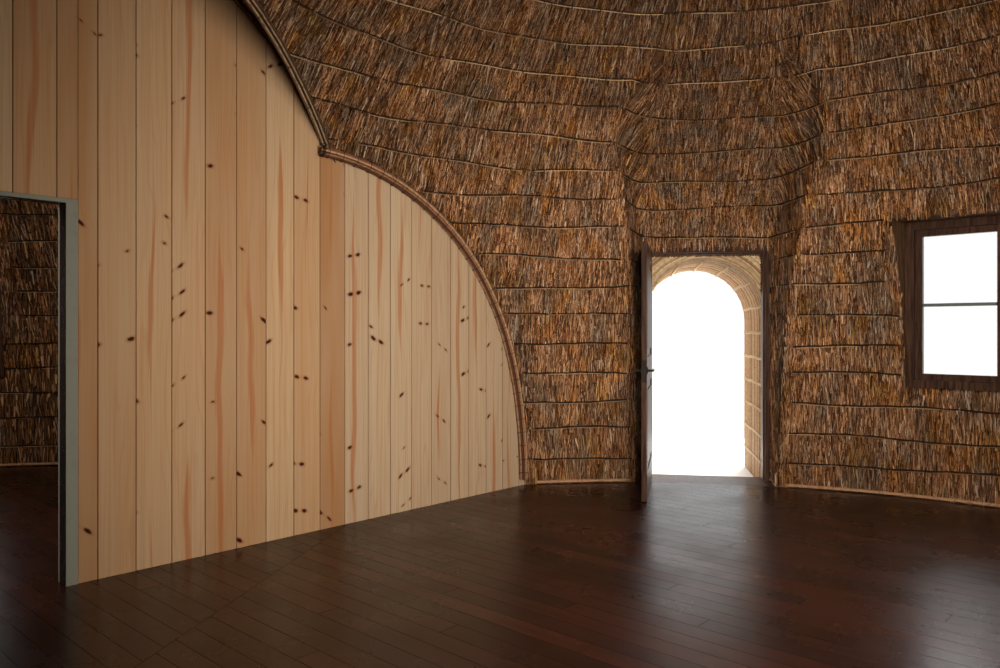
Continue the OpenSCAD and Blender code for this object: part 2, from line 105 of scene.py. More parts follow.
# Rows of ties along the thatch
TIE_STEP = 0.245
TIE_FIRST = FLOOR_Z + 0.21
OUTER_TIE_STEP = 0.46
PILLOW = 0.009
LAYER = 0.006
CLEAR = 0.012

# Strands drawn across each card of straw
STRANDS = 2.0

rng = np.random.default_rng(7)


# Colours, written as 0 to 255 sRGB

def tone(red, green, blue):
    """A linear colour from an sRGB one."""
    parts = [c / 255 for c in (red, green, blue)]
    return tuple(c / 12.92 if c < 0.04045 else ((c + 0.055) / 1.055) ** 2.4 for c in parts) + (1.0,)


# Shader helpers

class Nodes:
    """Short calls to add nodes to a tree."""

    def __init__(self, tree):
        self.tree = tree

    def plug(self, socket, value):
        if isinstance(value, bpy.types.NodeSocket):
            self.tree.links.new(value, socket)
        else:
            socket.default_value = value

    def add(self, kind, inputs=(), output=0, **settings):
        """Adds a node and gives one of its outputs, or all of them where output is None."""
        node = self.tree.nodes.new(kind)
        for key, value in settings.items():
            setattr(node, key, value)
        for key, value in dict(inputs).items():
            self.plug(node.inputs[key], value)
        return node.outputs if output is None else node.outputs[output]

    def math(self, operation, a, b=0.0, third=0.0):
        return self.add("ShaderNodeMath", {0: a, 1: b, 2: third}, operation=operation)

    def plus(self, a, b):
        return self.math("ADD", a, b)

    def minus(self, a, b):
        return self.math("SUBTRACT", a, b)

    def times(self, a, b):
        return self.math("MULTIPLY", a, b)

    def gap(self, a, b):
        return self.math("ABSOLUTE", self.minus(a, b))

    def stretch(self, value, low, high, new_low=0.0, new_high=1.0):
        return self.add("ShaderNodeMapRange", {"Value": value, "From Min": low, "From Max": high,
                                               "To Min": new_low, "To Max": new_high})

    def seen(self):
        """1 for what the camera sees, also in gloss and through glass, and 0 for light."""
        rays = self.add("ShaderNodeLightPath", output=None)
        seen = self.math("MAXIMUM", rays["Is Camera Ray"], rays["Is Glossy Ray"])
        return self.math("MAXIMUM", seen, rays["Is Transmission Ray"])


class Shader(Nodes):
    """A material with one Principled shader."""

    def __init__(self, name, roughness=0.6, specular=0.4, metallic=0.0):
        self.material = bpy.data.materials.new(name)
        self.material.use_nodes = True
        super().__init__(self.material.node_tree)
        self.put({"Roughness": roughness, "Specular IOR Level": specular, "Metallic": metallic})

    def put(self, values):
        """Sets or links the shader's own sockets. None leaves one as it is."""
        for key, value in values.items():
            if value is not None:
                self.plug(self.tree.nodes["Principled BSDF"].inputs[key], value)

    def vector(self, x, y, z=0.0):
        return self.add("ShaderNodeCombineXYZ", {0: x, 1: y, 2: z})

    def split(self, vector):
        return self.add("ShaderNodeSeparateXYZ", {0: vector}, None)

    def uv(self, name):
        return self.split(self.add("ShaderNodeUVMap", uv_map=name))[:2]

    def position(self):
        return self.add("ShaderNodeNewGeometry", output="Position")

    def along_boards(self):
        """The place in the partition's own directions."""
        turn = (0, 0, -PARTITION_TURN)
        return self.split(self.add("ShaderNodeMapping", {"Vector": self.position(), "Rotation": turn}))

    def noise(self, vector, scale, detail=3.0, rough=0.55):
        return self.add("ShaderNodeTexNoise", {"Vector": vector, "Scale": scale,
                                               "Detail": detail, "Roughness": rough})

    def streaks(self, x, y, z, scale, detail=3.0, rough=0.55):
        """Noise over the place, with its own scale along each axis."""
        place = self.add("ShaderNodeMapping", {"Vector": self.position(), "Scale": (x, y, z)})
        return self.noise(place, scale, detail, rough)

    def ramp(self, value, stops):
        node = self.tree.nodes.new("ShaderNodeValToRGB")
        elements = node.color_ramp.elements
        while len(elements) < len(stops):
            elements.new(0.5)
        for element, (place, colour) in zip(elements, stops):
            element.position = place
            element.color = colour
        self.plug(node.inputs["Fac"], value)
        return node.outputs["Color"]

    def mix(self, fac, a, b, blend="MIX"):
        return self.add("ShaderNodeMix", {"Factor": fac, "A": a, "B": b}, "Result", data_type="RGBA",
                        blend_type=blend)

    def tint(self, a, b):
        return self.mix(1.0, a, b, "MULTIPLY")

    def stain(self, colour, other, value, low, high, most):
        """Lays another colour over one, from nothing where a value is low to most where it is high."""
        return self.mix(self.stretch(value, low, high, 0.0, most), colour, other)

    def finish(self, colour=None, roughness=None, height=None, bump=0.3, distance=0.003):
        self.put({"Base Color": colour, "Roughness": roughness})
        if height is not None:
            relief = {"Height": height, "Strength": bump, "Distance": distance}
            self.put({"Normal": self.add("ShaderNodeBump", relief)})
        return self.material


def straw_material(name, stops, patch_dark, patch_warm, patch_ochre, crown):
    """Straw: the first UV value picks a card's tone and the second runs along it. Strands cross it.
    crown is how much darker painted shade makes it high up towards the crown; painted shade also darkens the
    foot of the wall by half as much, each card's root and the gaps between strands."""
    s = Shader(name, roughness=0.72, specular=0.25)
    pick, along = s.uv("straw")
    lane, seed = s.uv("strand")
    strand = s.times(lane, STRANDS)
    key = s.vector(s.math("FLOOR", strand), s.times(seed, 913.0))
    luck = s.add("ShaderNodeTexWhiteNoise", {"Vector": key}, noise_dimensions="2D")
    tone_place = s.plus(s.times(pick, 0.35), s.times(luck, 0.65))
    tone_place = s.plus(tone_place, s.stretch(s.streaks(60, 60, 7, 1.5), 0.3, 0.7, -0.16, 0.16))
    colour = s.ramp(tone_place, stops)
    patches = s.stretch(s.streaks(5.5, 5.5, 1.8, 1.0, 3.0, 0.6), 0.38, 0.60)
    colour = s.mix(patches, s.tint(colour, patch_dark), s.tint(colour, patch_warm))
    ochre = s.stretch(s.streaks(7.0, 7.0, 3.0, 1.0, 2.0, 0.5), 0.52, 0.66, 0.0, 0.8)
    colour = s.mix(ochre, colour, s.tint(colour, patch_ochre))
    bend = s.gap(s.math("FRACT", strand), 0.5)
    # Painted shade: darker at the edges of each strand and towards each card's root
    shade = s.times(s.stretch(bend, 0.22, 0.5, 1.0, 0.28), s.stretch(along, 0.0, 0.2, 0.7, 1.0))
    rise = s.split(s.position())[2]
    # Painted shade: darker high up towards the crown and low down at the foot of the wall
    shade = s.times(shade, s.stretch(rise, 2.4, 3.8, 1.0, crown))
    shade = s.times(shade, s.stretch(rise, 0.1, 1.1, 0.5 + 0.5 * crown, 1.0))
    colour = s.tint(colour, s.add("ShaderNodeCombineColor", {0: shade, 1: shade, 2: shade}))
    return s.finish(colour, height=s.stretch(bend, 0.0, 0.5, 1.0, 0.0), bump=0.35)


def thatch_bed_material():
    """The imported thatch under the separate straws."""
    s = Shader("thatch_bed", roughness=0.85, specular=0.2)
    dark, light = tone(46, 31, 21), tone(112, 80, 54)
    streaks = s.streaks(70, 70, 5, 1.0, 5.0, 0.7)
    patches = s.noise(s.position(), 1.1)
    colour = s.ramp(s.stretch(streaks, 0.36, 0.64), [(0.0, dark), (0.55, light), (1.0, tone(150, 100, 56))])
    colour = s.stain(colour, dark, patches, 0.35, 0.65, 0.5)
    return s.finish(colour, height=streaks, bump=0.8, distance=0.02)


def reed_material(name, dark, light):
    """Reeds and bundled stems, each with its own tone and faint joints along it."""
    s = Shader(name, roughness=0.55, specular=0.35)
    colour = s.ramp(s.uv("straw")[0], [(0.0, dark), (1.0, light)])
    flecks = s.streaks(25, 25, 25, 1.6, 4.0)
    colour = s.stain(colour, dark, flecks, 0.45, 0.7, 0.6)
    return s.finish(colour, height=flecks)


def bound_reed_material():
    """The solids of reed bundles, with strands that run round them."""
    s = Shader("bound_reed", roughness=0.7, specular=0.25)
    strands = s.streaks(30, 60, 60, 1.5, 4.0)
    colour = s.ramp(s.stretch(strands, 0.35, 0.65),
                    [(0.0, tone(52, 34, 20)), (0.6, tone(112, 76, 44)), (1.0, tone(160, 118, 72))])
    return s.finish(colour, height=strands, bump=0.6, distance=0.01)


def pine_material():
    """Knotty pine: tones by board, fine grain, red heart bands and small dark knots."""
    s = Shader("knotty_pine", roughness=0.42, specular=0.35)
    pick, across = s.uv("board")
    place = s.along_boards()
    height = place[2]
    lane = s.plus(across, s.times(pick, 31.0))
    base = s.ramp(pick, [(0.0, tone(164, 119, 78)), (0.3, tone(192, 152, 110)), (0.6, tone(172, 128, 88)),
                         (0.8, tone(202, 166, 124)), (1.0, tone(180, 136, 98))])
    pale = s.math("LESS_THAN", place[1], BOARD_JOINT_Y)
    base = s.mix(s.times(pale, 0.62), base, tone(194, 174, 144))
    drift = s.noise(s.vector(lane, s.times(height, 0.5), pick), 1.3, 2.0)
    fine = s.noise(s.vector(s.times(lane, 11.0), s.times(height, 0.45), pick), 2.0, 4.0, 0.6)
    rings = s.gap(s.math("FRACT", s.plus(s.times(lane, 5.0), s.times(drift, 6.0))), 0.5)
    colour = s.stain(base, tone(160, 104, 62), rings, 0.36, 0.5, 0.30)
    colour = s.stain(colour, tone(168, 116, 74), fine, 0.42, 0.66, 0.5)
    colour = s.stain(colour, tone(186, 160, 128), drift, 0.35, 0.65, 0.35)

    wander = s.noise(s.vector(s.times(pick, 91.0), s.times(height, 0.8), 7.0), 1.0, 2.0)
    spread = s.gap(s.plus(across, s.stretch(wander, 0.3, 0.7, -0.13, 0.13)), 0.55)
    reach = s.noise(s.vector(s.times(pick, 57.0), s.times(height, 0.5), 3.0), 1.0, 1.0)
    inside = s.minus(s.stretch(reach, 0.42, 0.58, -0.02, 0.13), spread)
    inside = s.plus(inside, s.stretch(fine, 0.3, 0.7, -0.02, 0.02))
    band = s.times(s.stretch(inside, 0.0, 0.07, 0.0, 0.75), s.stretch(fine, 0.3, 0.6, 0.6, 1.0))
    colour = s.mix(band, colour, tone(166, 98, 54))

    wobble = s.noise(s.position(), 40.0, 2.0)
    rise = s.plus(s.times(height, 7.0), s.times(lane, s.stretch(pick, 0.0, 1.0, -1.1, 1.1)))
    for shift, share in ((0.0, 0.0), (0.29, 0.35)):
        spot = s.vector(s.plus(s.times(lane, 0.85), s.math("MULTIPLY_ADD", wobble, 0.05, shift)),
                        s.plus(rise, s.times(wobble, 0.10)))
        cell = s.add("ShaderNodeTexVoronoi", {"Vector": spot, "Scale": 1.0}, None, voronoi_dimensions="2D")
        luck = s.split(cell["Color"])
        there = s.times(s.math("GREATER_THAN", luck[0], 0.84), s.math("GREATER_THAN", luck[2], share))
        near = s.minus(cell["Distance"], s.stretch(luck[1], 0.0, 1.0, 0.035, 0.095))
        for low, high, most, shade in ((0.08, 0.0, 0.6, tone(150, 88, 50)),
                                       (0.012, -0.015, 1.0, tone(78, 42, 27)),
                                       (-0.02, -0.05, 1.0, tone(48, 26, 18))):
            colour = s.mix(s.times(s.stretch(near, low, high, 0.0, most), there), colour, shade)
    joint = s.times(s.stretch(s.gap(across, 0.5), 0.474, 0.490),
                    s.stretch(s.math("FRACT", s.times(pick, 7.0)), 0.0, 1.0, 0.45, 0.8))
    colour = s.mix(joint, colour, tone(104, 62, 38))
    return s.finish(colour, roughness=s.stretch(fine, 0.3, 0.7, 0.36, 0.5), height=fine, bump=0.10,
                    distance=0.002)


def timber_material():
    """Stained timber with fine upright grain."""
    s = Shader("dark_timber", roughness=0.42, specular=0.45)
    dark, light = tone(50, 34, 26), tone(86, 60, 46)
    grain = s.streaks(45, 45, 3, 1.4, 5.0, 0.6)
    broad = s.streaks(45 / 8, 45 / 8, 3 / 8, 1.7, 2.0)
    colour = s.mix(s.stretch(grain, 0.38, 0.62), dark, light)
    colour = s.stain(colour, dark, broad, 0.4, 0.65, 0.45)
    return s.finish(colour, roughness=s.stretch(grain, 0.3, 0.7, 0.50, 0.36), height=grain, bump=0.2,
                    distance=0.001)


def floor_material():
    """Dark red-brown boards with a polished, slightly scuffed face."""
    s = Shader("floor_boards", roughness=0.3, specular=0.3)
    pick = s.uv("board")[0]
    place = s.along_boards()
    lane = s.plus(s.times(place[1], 24.0), s.times(pick, 57.0))
    grain = s.noise(s.vector(s.times(place[0], 1.3), lane, pick), 1.6, 5.0, 0.62)
    colour = s.ramp(pick, [(0.0, tone(30, 11, 8)), (0.5, tone(42, 17, 12)), (1.0, tone(56, 24, 16))])
    colour = s.stain(colour, tone(26, 11, 9), grain, 0.42, 0.66, 0.7)
    scuffs = s.noise(s.position(), 2.2, 4.0, 0.6)
    return s.finish(colour, roughness=s.stretch(scuffs, 0.3, 0.7, 0.22, 0.36), height=grain, bump=0.2,
                    distance=0.001)


def plain_material(name, colour, roughness, metallic=0.0, wear=None):
    """Paint or metal with faint wear."""
    s = Shader(name, roughness=roughness, specular=0.4, metallic=metallic)
    spots = s.noise(s.position(), 14.0, 5.0, 0.6)
    worn = s.mix(s.stretch(spots, 0.52, 0.75, 0.0, 0.5), colour, wear or colour)
    return s.finish(worn, roughness=s.stretch(spots, 0.3, 0.7, roughness - 0.08, roughness + 0.1),
                    height=spots, bump=0.08, distance=0.001)


def glass_material():
    s = Shader("window_pane", roughness=0.04, specular=0.5)
    s.put({"Alpha": 0.14})
    return s.finish(tone(225, 238, 236))


# Meshes from arrays

class Heap:
    """Collects quads with one UV pair for each corner point, and turns them into one mesh."""

    def __init__(self):
        self.points = []
        self.quads = []
        self.uvs = []
        self.strands = []
        self.count = 0

    def add(self, points, quads, uvs, strands=None):
        self.points.append(np.asarray(points, float).reshape(-1, 3))
        self.quads.append(np.asarray(quads, int).reshape(-1, 4) + self.count)
        self.uvs.append(np.asarray(uvs, float).reshape(-1, 2))
        if strands is not None:
            self.strands.append(np.asarray(strands, float).reshape(-1, 2))
        self.count += len(self.points[-1])

    def piece(self, name, material, slot, uv_name="straw", smooth=False):
        points = np.clip(np.concatenate(self.points), *BOX)
        quads = np.concatenate(self.quads)
        mesh = bpy.data.meshes.new(name)
        mesh.vertices.add(len(points))
        mesh.vertices.foreach_set("co", points.astype(np.float32).ravel())
        mesh.loops.add(quads.size)
        mesh.loops.foreach_set("vertex_index", quads.astype(np.int32).ravel())
        mesh.polygons.add(len(quads))
        mesh.polygons.foreach_set("loop_start", np.arange(0, quads.size, 4, dtype=np.int32))
        mesh.polygons.foreach_set("use_smooth", np.full(len(quads), smooth))
        for layer_name, pairs in ((uv_name, self.uvs), ("strand", self.strands)):
            if pairs:
                layer = mesh.uv_layers.new(name=layer_name)
                layer.data.foreach_set("uv", np.concatenate(pairs)[quads.ravel()].astype(np.float32).ravel())
        mesh.update(calc_edges=True)
        return show(name, mesh, material)


def in_scene(name, data):
    item = bpy.data.objects.new(name, data)
    bpy.context.scene.collection.objects.link(item)
    return item


def show(name, mesh, material):
    """Puts a mesh in the scene as a piece of the hut."""
    mesh.materials.append(material)
    piece = in_scene(name, mesh)
    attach(piece, "hut")
    return piece


def unit(vectors):
    return vectors / np.maximum(np.linalg.norm(vectors, axis=-1, keepdims=True), 1e-9)


def xyz(x, y, z):
    """Points from coordinates, of which some can be single numbers."""
    return np.stack(np.broadcast_arrays(x, y, z), -1)


def circling(turn, side, over):
    """Directions round a path, by the turn from one side of it."""
    return np.cos(turn) * side + np.sin(turn) * over


def headings(path):
    """The direction along a path at each of its points."""
    i = np.arange(len(path))
    return unit(path[np.minimum(i + 1, i[-1])] - path[np.maximum(i - 1, 0)])


def lengths(path):
    """How far along a path each of its points lies."""
    return np.concatenate([[0], np.cumsum(np.linalg.norm(np.diff(path, axis=0), axis=1))])


def sideways(along, across):
    """Two directions square to a path, the first one square to across too."""
    side = unit(np.cross(along, across))
    return side, np.cross(side, along)


def add_tube(heap, path, radius, sides, pick, up=(0, 0, 1)):
    """A round rod along a path. up gives one direction across it, at each point or for all."""
    path = np.asarray(path, float)
    last = len(path) - 1
    side, over = sideways(headings(path), up)
    radius = np.broadcast_to(radius, last + 1)
    turn = (2 * pi * np.arange(sides) / sides)[:, None]
    rings = path[:, None] + radius[:, None, None] * circling(turn, side[:, None], over[:, None])
    i, k = np.meshgrid(np.arange(last), np.arange(sides), indexing="ij")
    n = (k + 1) % sides
    quads = np.stack([i * sides + k, i * sides + n, (i + 1) * sides + n, (i + 1) * sides + k], -1)
    v = np.repeat(np.linspace(0, 1, last + 1), sides)
    heap.add(rings, quads, np.stack([np.full(len(v), pick), v], -1))


def add_cards(heap, rows, pick, seed, keep=slice(None)):
    """Flat straws: rows holds each row's left and right points, from the straws' roots to their tips."""
    count = len(pick)
    steps = np.linspace(0, 1, len(rows) // 2)
    uvs = [np.stack([pick, np.full(count, v)], -1) for v in steps for way in (-1, 1)]
    strands = [np.stack([np.full(count, 0.5 + 0.499 * way), seed], -1) for v in steps for way in (-1, 1)]
    points, uvs, strands = (np.stack(a, 1)[keep] for a in (rows, uvs, strands))
    first = len(rows) * np.arange(len(points))[:, None]
    quads = [first + 2 * k + [0, 1, 3, 2] for k in range(len(steps) - 1)]
    heap.add(points, np.concatenate(quads), uvs, strands)


# The domes' form

def dome_radius(z, grow=0.0):
    """Radius of a dome's face at a height, the inner face by default."""
    share = np.clip(np.asarray(z, float) / (DOME_H + grow), 0, 1)
    return (DOME_R + grow) * np.sqrt(1 - share ** DOME_ROUND)


def face_value(points, centre_x, grow=0.0):
    """Zero on a dome's face, negative inside it."""
    across = np.hypot(points[..., 0] - centre_x, points[..., 1])
    height = np.maximum(points[..., 2], 0)
    return (across / (DOME_R + grow)) ** 2 + (height / (DOME_H + grow)) ** DOME_ROUND - 1


class Ties:
    """The wavy rows of ties of one face of one dome."""

    def __init__(self, first, step, wave, seed, grow=0.0):
        self.top = DOME_H + grow
        self.z = np.linspace(0, self.top, 4000)
        self.slope = lengths(np.stack([self.z, dome_radius(self.z, grow)], -1))
        self.start = np.interp(first, self.z, self.slope)
        self.step = step
        self.wave = wave
        self.seed = seed
        self.rows = int((self.slope[-1] - self.start) / step)

    def height(self, row, azimuth):
        """Height of a row in a direction."""
        base = np.interp(self.start + self.step * row, self.slope, self.z, left=-0.3, right=self.top + 0.3)
        swing = (np.sin(5 * azimuth + 1.7 * row + self.seed) + 0.7 * np.sin(11 * azimuth + 2.9 * row)
                 + 0.5 * np.sin(23 * azimuth + 0.8 * row * row))
        return base + self.wave * swing * np.clip((self.top - base) / 1.5, 0, 1)

    def below(self, z, azimuth):
        """The row at or below a height."""
        row = np.floor((np.interp(z, self.z, self.slope) - self.start) / self.step)
        row = np.where(z < self.height(row, azimuth), row - 1, row)
        return np.where(z >= self.height(row + 1, azimuth), row + 1, row)

    def pillow(self, point, azimuth, swell):
        """How proud the straw lies: pressed down at each tie and swollen between two."""
        row = self.below(point[:, 2], azimuth)
        low, high = self.height(row, azimuth), self.height(row + 1, azimuth)
        share = np.clip((point[:, 2] - low) / np.maximum(high - low, 0.02), 0, 1)
        return swell * np.sin(pi * share) ** 0.6


class Face:
    """The faces of some nodes that show on one side of a dome, for scattering straw and laying ties."""

    def __init__(self, nodes, centre_x, inside):
        self.centre_x = centre_x
        self.inside = inside
        corners = np.concatenate([node_triangles(n) for n in nodes])
        normal = np.cross(corners[:, 1] - corners[:, 0], corners[:, 2] - corners[:, 0])
        size = np.linalg.norm(normal, axis=1) / 2
        normal = unit(normal)
        keep = self.shows(corners.mean(1), normal) & (size > 1e-7)
        self.corners = corners[keep]
        self.normal = normal[keep]
        self.size = size[keep]
        flat = self.corners.reshape(-1, 3)
        faces = np.arange(len(flat)).reshape(-1, 3)
        self.tree = BVHTree.FromPolygons([Vector(p) for p in flat], faces.tolist())

    def shows(self, middle, normal):
        facing = (normal * unit(np.array([self.centre_x, 0, EYE_Z]) - middle)).sum(1)
        if not self.inside:
            outside = face_value(middle, self.centre_x, THATCH_T) > -SLACK
            return outside & (facing < -0.05) & (normal[:, 2] > -0.3)
        value = face_value(middle, self.centre_x)
        bay = (np.abs(middle[:, 0]) < BAY_HALF) & (middle[:, 1] < BAY_Y) & (middle[:, 1] > DOORWAY_Y - 0.005)
        return ((np.abs(value) < SLACK) & (facing > 0)) | (bay & (value > 0) & (facing > 0.12))

    def scatter(self, count):
        """Random points by area, with the direction down the slope and the normal there."""
        pick = rng.choice(len(self.size), count, p=self.size / self.size.sum())
        a, b = rng.random((2, count, 1))
        fold = a + b > 1
        a, b = np.where(fold, 1 - a, a), np.where(fold, 1 - b, b)
        first, second, third = self.corners[pick].transpose(1, 0, 2)
        point = first + a * (second - first) + b * (third - first)
        normal = self.smooth_normal(point, self.normal[pick])
        down = np.array([0, 0, -1.0]) + normal * normal[:, 2:3]
        radial = (point - [self.centre_x, 0, 0]) * [1, 1, 0]
        level = np.linalg.norm(down, axis=1, keepdims=True) < 0.08
        return point, unit(np.where(level, radial, down)), normal

    def smooth_normal(self, point, normal):
        """The true dome's normal on its own face, and the given one elsewhere."""
        grow = 0 if self.inside else THATCH_T
        on_dome = np.abs(face_value(point, self.centre_x, grow)) < SLACK
        slope = 2 * (point - [self.centre_x, 0, 0]) / (DOME_R + grow) ** 2
        height = np.maximum(point[:, 2], 0)
        slope[:, 2] = DOME_ROUND * height ** (DOME_ROUND - 1) / (DOME_H + grow) ** DOME_ROUND
        return np.where(on_dome[:, None], unit(slope) * (-1 if self.inside else 1), normal)

    def near(self, point):
        return np.array([self.tree.find_nearest(Vector(p), 0.05)[0] is not None for p in point])


def node_triangles(name):
    mesh = frame["nodes"][name].data
    mesh.calc_loop_triangles()
    points = np.empty(len(mesh.vertices) * 3, np.float32)
    mesh.vertices.foreach_get("co", points)
    corners = np.empty(len(mesh.loop_triangles) * 3, np.int32)
    mesh.loop_triangles.foreach_get("vertices", corners)
    return points.reshape(-1, 3)[corners].reshape(-1, 3, 3).astype(float)


def level_way(azimuth):
    return Vector((cos(azimuth), sin(azimuth), 0))


def azimuth_of(point, centre_x):
    return np.arctan2(point[:, 1], point[:, 0] - centre_x)


def clear_of_partition(*ends):
    """Keeps what lies wholly on one side of the boarded partition."""
    out = np.array([cos(PARTITION_TURN), sin(PARTITION_TURN), 0])
    depth = np.stack([end @ out for end in ends])
    return (depth.max(0) < PARTITION_D - CLEAR) | (depth.min(0) > PARTITION_D + PARTITION_T + CLEAR)


def add_straws(heap, face, ties, count, width, size, lean, floor, pillow):
    """Combed straw in narrow cards, laid from tie to tie down the slope."""
    point, down, normal = face.scatter(count)
    azimuth = azimuth_of(point, face.centre_x)
    row = ties.below(point[:, 2], azimuth)
    fall = np.maximum(-down[:, 2], 0.12)
    length = rng.uniform(size[0], size[1], count)
    share = rng.random(count)
    over = 0.008 * rng.random(count)
    up_run = np.minimum(length * share, (ties.height(row + 1, azimuth) - point[:, 2]) / fall + over)
    low_run = np.minimum(length * (1 - share), (point[:, 2] - ties.height(row, azimuth)) / fall + over)
    low_run = np.minimum(low_run, np.maximum((point[:, 2] - floor) / fall, 0.0))
    side = np.cross(down, normal)
    angle = lean * rng.standard_normal(count)
    heading = down * np.cos(angle)[:, None] + side * np.sin(angle)[:, None]
    up_run = np.where(face.near(point - heading * up_run[:, None]), up_run, up_run * 0.3)
    low_run = np.where(face.near(point + heading * low_run[:, None]), low_run, low_run * 0.3)
    root = point - heading * up_run[:, None]
    tip = point + heading * low_run[:, None]
    keep = (up_run + low_run > 0.03) & face.near(root) & face.near(tip)
    if face.inside:
        way = 1 if face.centre_x else -1
        keep &= clear_of_partition(root, tip)
        keep &= (way * (root[:, 0] - LIP_X) > CLEAR) & (way * (tip[:, 0] - LIP_X) > CLEAR)
    layer = LAYER * rng.random(count)
    proud = 0.003 * rng.random(count) ** 2
    roll = 0.35 * rng.standard_normal(count)
    edge = np.cross(heading, normal) * np.cos(roll)[:, None] + normal * np.sin(roll)[:, None]
    half = width * rng.uniform(0.7, 1.3, count) / 2
    pick, seed = card_luck(count)
    rows = []
    for place, extra, taper in ((root, 0.0, 1.0), (tip, proud, 0.55)):
        height = 0.004 + layer + extra + ties.pillow(place, azimuth_of(place, face.centre_x), pillow)
        if not face.inside:
            height = np.minimum(height, room_to_box(place, normal) * (0.2 + 0.7 * layer / LAYER))
        spine = place + normal * height[:, None]
        rows += [spine + sign * edge * (half * taper)[:, None] for sign in (-1, 1)]
    add_cards(heap, rows, pick, seed, keep)


def card_luck(count):
    """Each card's tone, and a number that picks the tones of its strands."""
    return np.clip(rng.normal(0.5, 0.25, count), 0, 1), rng.random(count)


def room_to_box(place, normal):
    """How far a point can move along its normal, level, and stay in the solids' box."""
    steep = np.where(np.abs(normal) < 0.05, np.nan, normal)[:, :2]
    room = np.where(normal > 0, BOX[1] - place, BOX[0] - place)[:, :2] / steep
    return np.maximum(np.nanmin(np.nan_to_num(room, nan=1.0), axis=1), 0.0)


def tie_path(face, ties, row, azimuths):
    """Points of one row on the face, with the normal at each, or None where there is no face."""
    path = []
    for azimuth in azimuths:
        reach = 0 if face.inside else 6
        way = level_way(azimuth)
        start = Vector((face.centre_x, 0, float(ties.height(row, azimuth)))) + reach * way
        hit, normal, _, distance = face.tree.ray_cast(start, -way if reach else way)
        if hit is None or (reach and distance > reach):
            path.append(None)
            continue
        place = np.array([hit])
        path.append((place[0], face.smooth_normal(place, np.array([normal]))[0]))
    return path


def runs_of(path):
    """Splits a path where it has no points or jumps."""
    run = []
    for item in path + [None]:
        gap = item is None or (run and np.linalg.norm(item[0] - run[-1][0]) > 0.35)
        if gap and len(run) > 1:
            yield run
        if gap:
            run = []
        if item is not None:
            run.append(item)


def clear_parts(face, run):
    """The stretches of a run that are clear of the partition, as points and normals."""
    place = np.array([p for p, n in run])
    normal = np.array([n for p, n in run])
    clear = clear_of_partition(place) if face.inside else np.full(len(place), True)
    for part in np.split(np.arange(len(place)), np.flatnonzero(np.diff(clear.astype(int))) + 1):
        if len(part) > 1 and clear[part[0]]:
            yield part, place[part], normal[part]


def add_ties(dark, light, face, ties, radius, lift, steps):
    """Each row: a dark cord, light twigs bound under it, and stitches over both."""
    azimuths = np.linspace(-pi, pi, steps + 1)
    for row in range(ties.rows + 1):
        for run in runs_of(tie_path(face, ties, row, azimuths)):
            for part, place, normal in clear_parts(face, run):
                line = place + normal * (lift + 0.0015 * np.sin(7.0 * part))[:, None]
                line[:, 2] += 0.8 * radius + 0.003 * np.sin(2.3 * part + row)
                add_tube(dark, line, radius * (1 + 0.25 * np.sin(3.1 * part + row)), 4, 0.35, normal)
                add_twigs(light, place, normal, radius, lift)
                add_stitches(dark, place, normal, radius, lift)


def add_twigs(heap, place, normal, radius, lift):
    """Thin twigs in lengths that overlap a little, with short stretches left bare."""
    start = int(rng.integers(0, 4))
    while start + 3 < len(place):
        stop = min(start + int(rng.integers(5, 16)), len(place))
        line = place[start:stop] + normal[start:stop] * (lift - 0.1 * radius)
        line[:, 2] -= 0.55 * radius + 0.003 * rng.random()
        thin = np.full(stop - start, 0.5 * radius)
        thin[[0, -1]] *= 0.5
        add_tube(heap, line, thin, 4, rng.random(), normal[start:stop])
        start = stop - 1 + int(rng.choice([0, 0, 1, 3, 6]))


def add_stitches(heap, place, normal, radius, lift):
    """Short loops of cord over a row, which hold it to the thatch."""
    for i in range(int(rng.integers(1, 3)), len(place) - 1, 3):
        if rng.random() < 0.25:
            continue
        along = unit(place[i + 1] - place[i])
        up = unit(np.cross(normal[i], along))
        up = up * np.sign(up[2] + 1e-9)
        slant = 0.25 * rng.standard_normal()
        spot = place[i] + (place[i + 1] - place[i]) * rng.random()
        over = lift + 1.3 * radius
        line = [spot + (up + slant * along) * radius * a + normal[i] * h
                for a, h in ((3.4, 0.003), (1.8, over), (-0.9, over), (-2.8, 0.003))]
        add_tube(heap, line, 0.5 * radius, 4, 0.2, along)


# Thatch

THATCH_NODES = {
    "main": ["main_wall_front_right", "main_wall_front_left", "door_saddle", "main_wall_under_window",
             "main_wall_over_window", "main_wall_left", "main_wall_back", "main_wall_back_right",
             "main_roof_front", "main_roof_left", "main_roof_back", "main_roof_right", "main_crown",
             "groin_arch"],
    "side": ["side_wall_front", "side_wall_under_window", "side_wall_over_window", "side_wall_right",
             "side_wall_back", "side_roof_front", "side_roof_right", "side_roof_back", "side_roof_left",
             "side_crown", "groin_arch"],
}


def thatch_inside(straw, cord, twig):
    for dome, count, width, parts, steps in (("main", 190000, 0.0135, 2, 240),
                                             ("side", 52000, 0.021, 1, 150)):
        face = Face(THATCH_NODES[dome], CENTRES[dome], True)
        ties = Ties(TIE_FIRST, TIE_STEP, 0.012, CENTRES[dome])
        for part in range(parts):
            heap = Heap()
            add_straws(heap, face, ties, count // parts, width, (0.07, 0.17), 0.10, FLOOR_Z + 0.004, PILLOW)
            heap.piece(f"{dome}_straw_inside_{part + 1}", straw, "thatch")
        dark, light = Heap(), Heap()
        add_ties(dark, light, face, ties, 0.0066, 0.0125, steps)
        dark.piece(f"{dome}_ties_inside", cord, "reed")
        light.piece(f"{dome}_twigs_inside", twig, "reed")


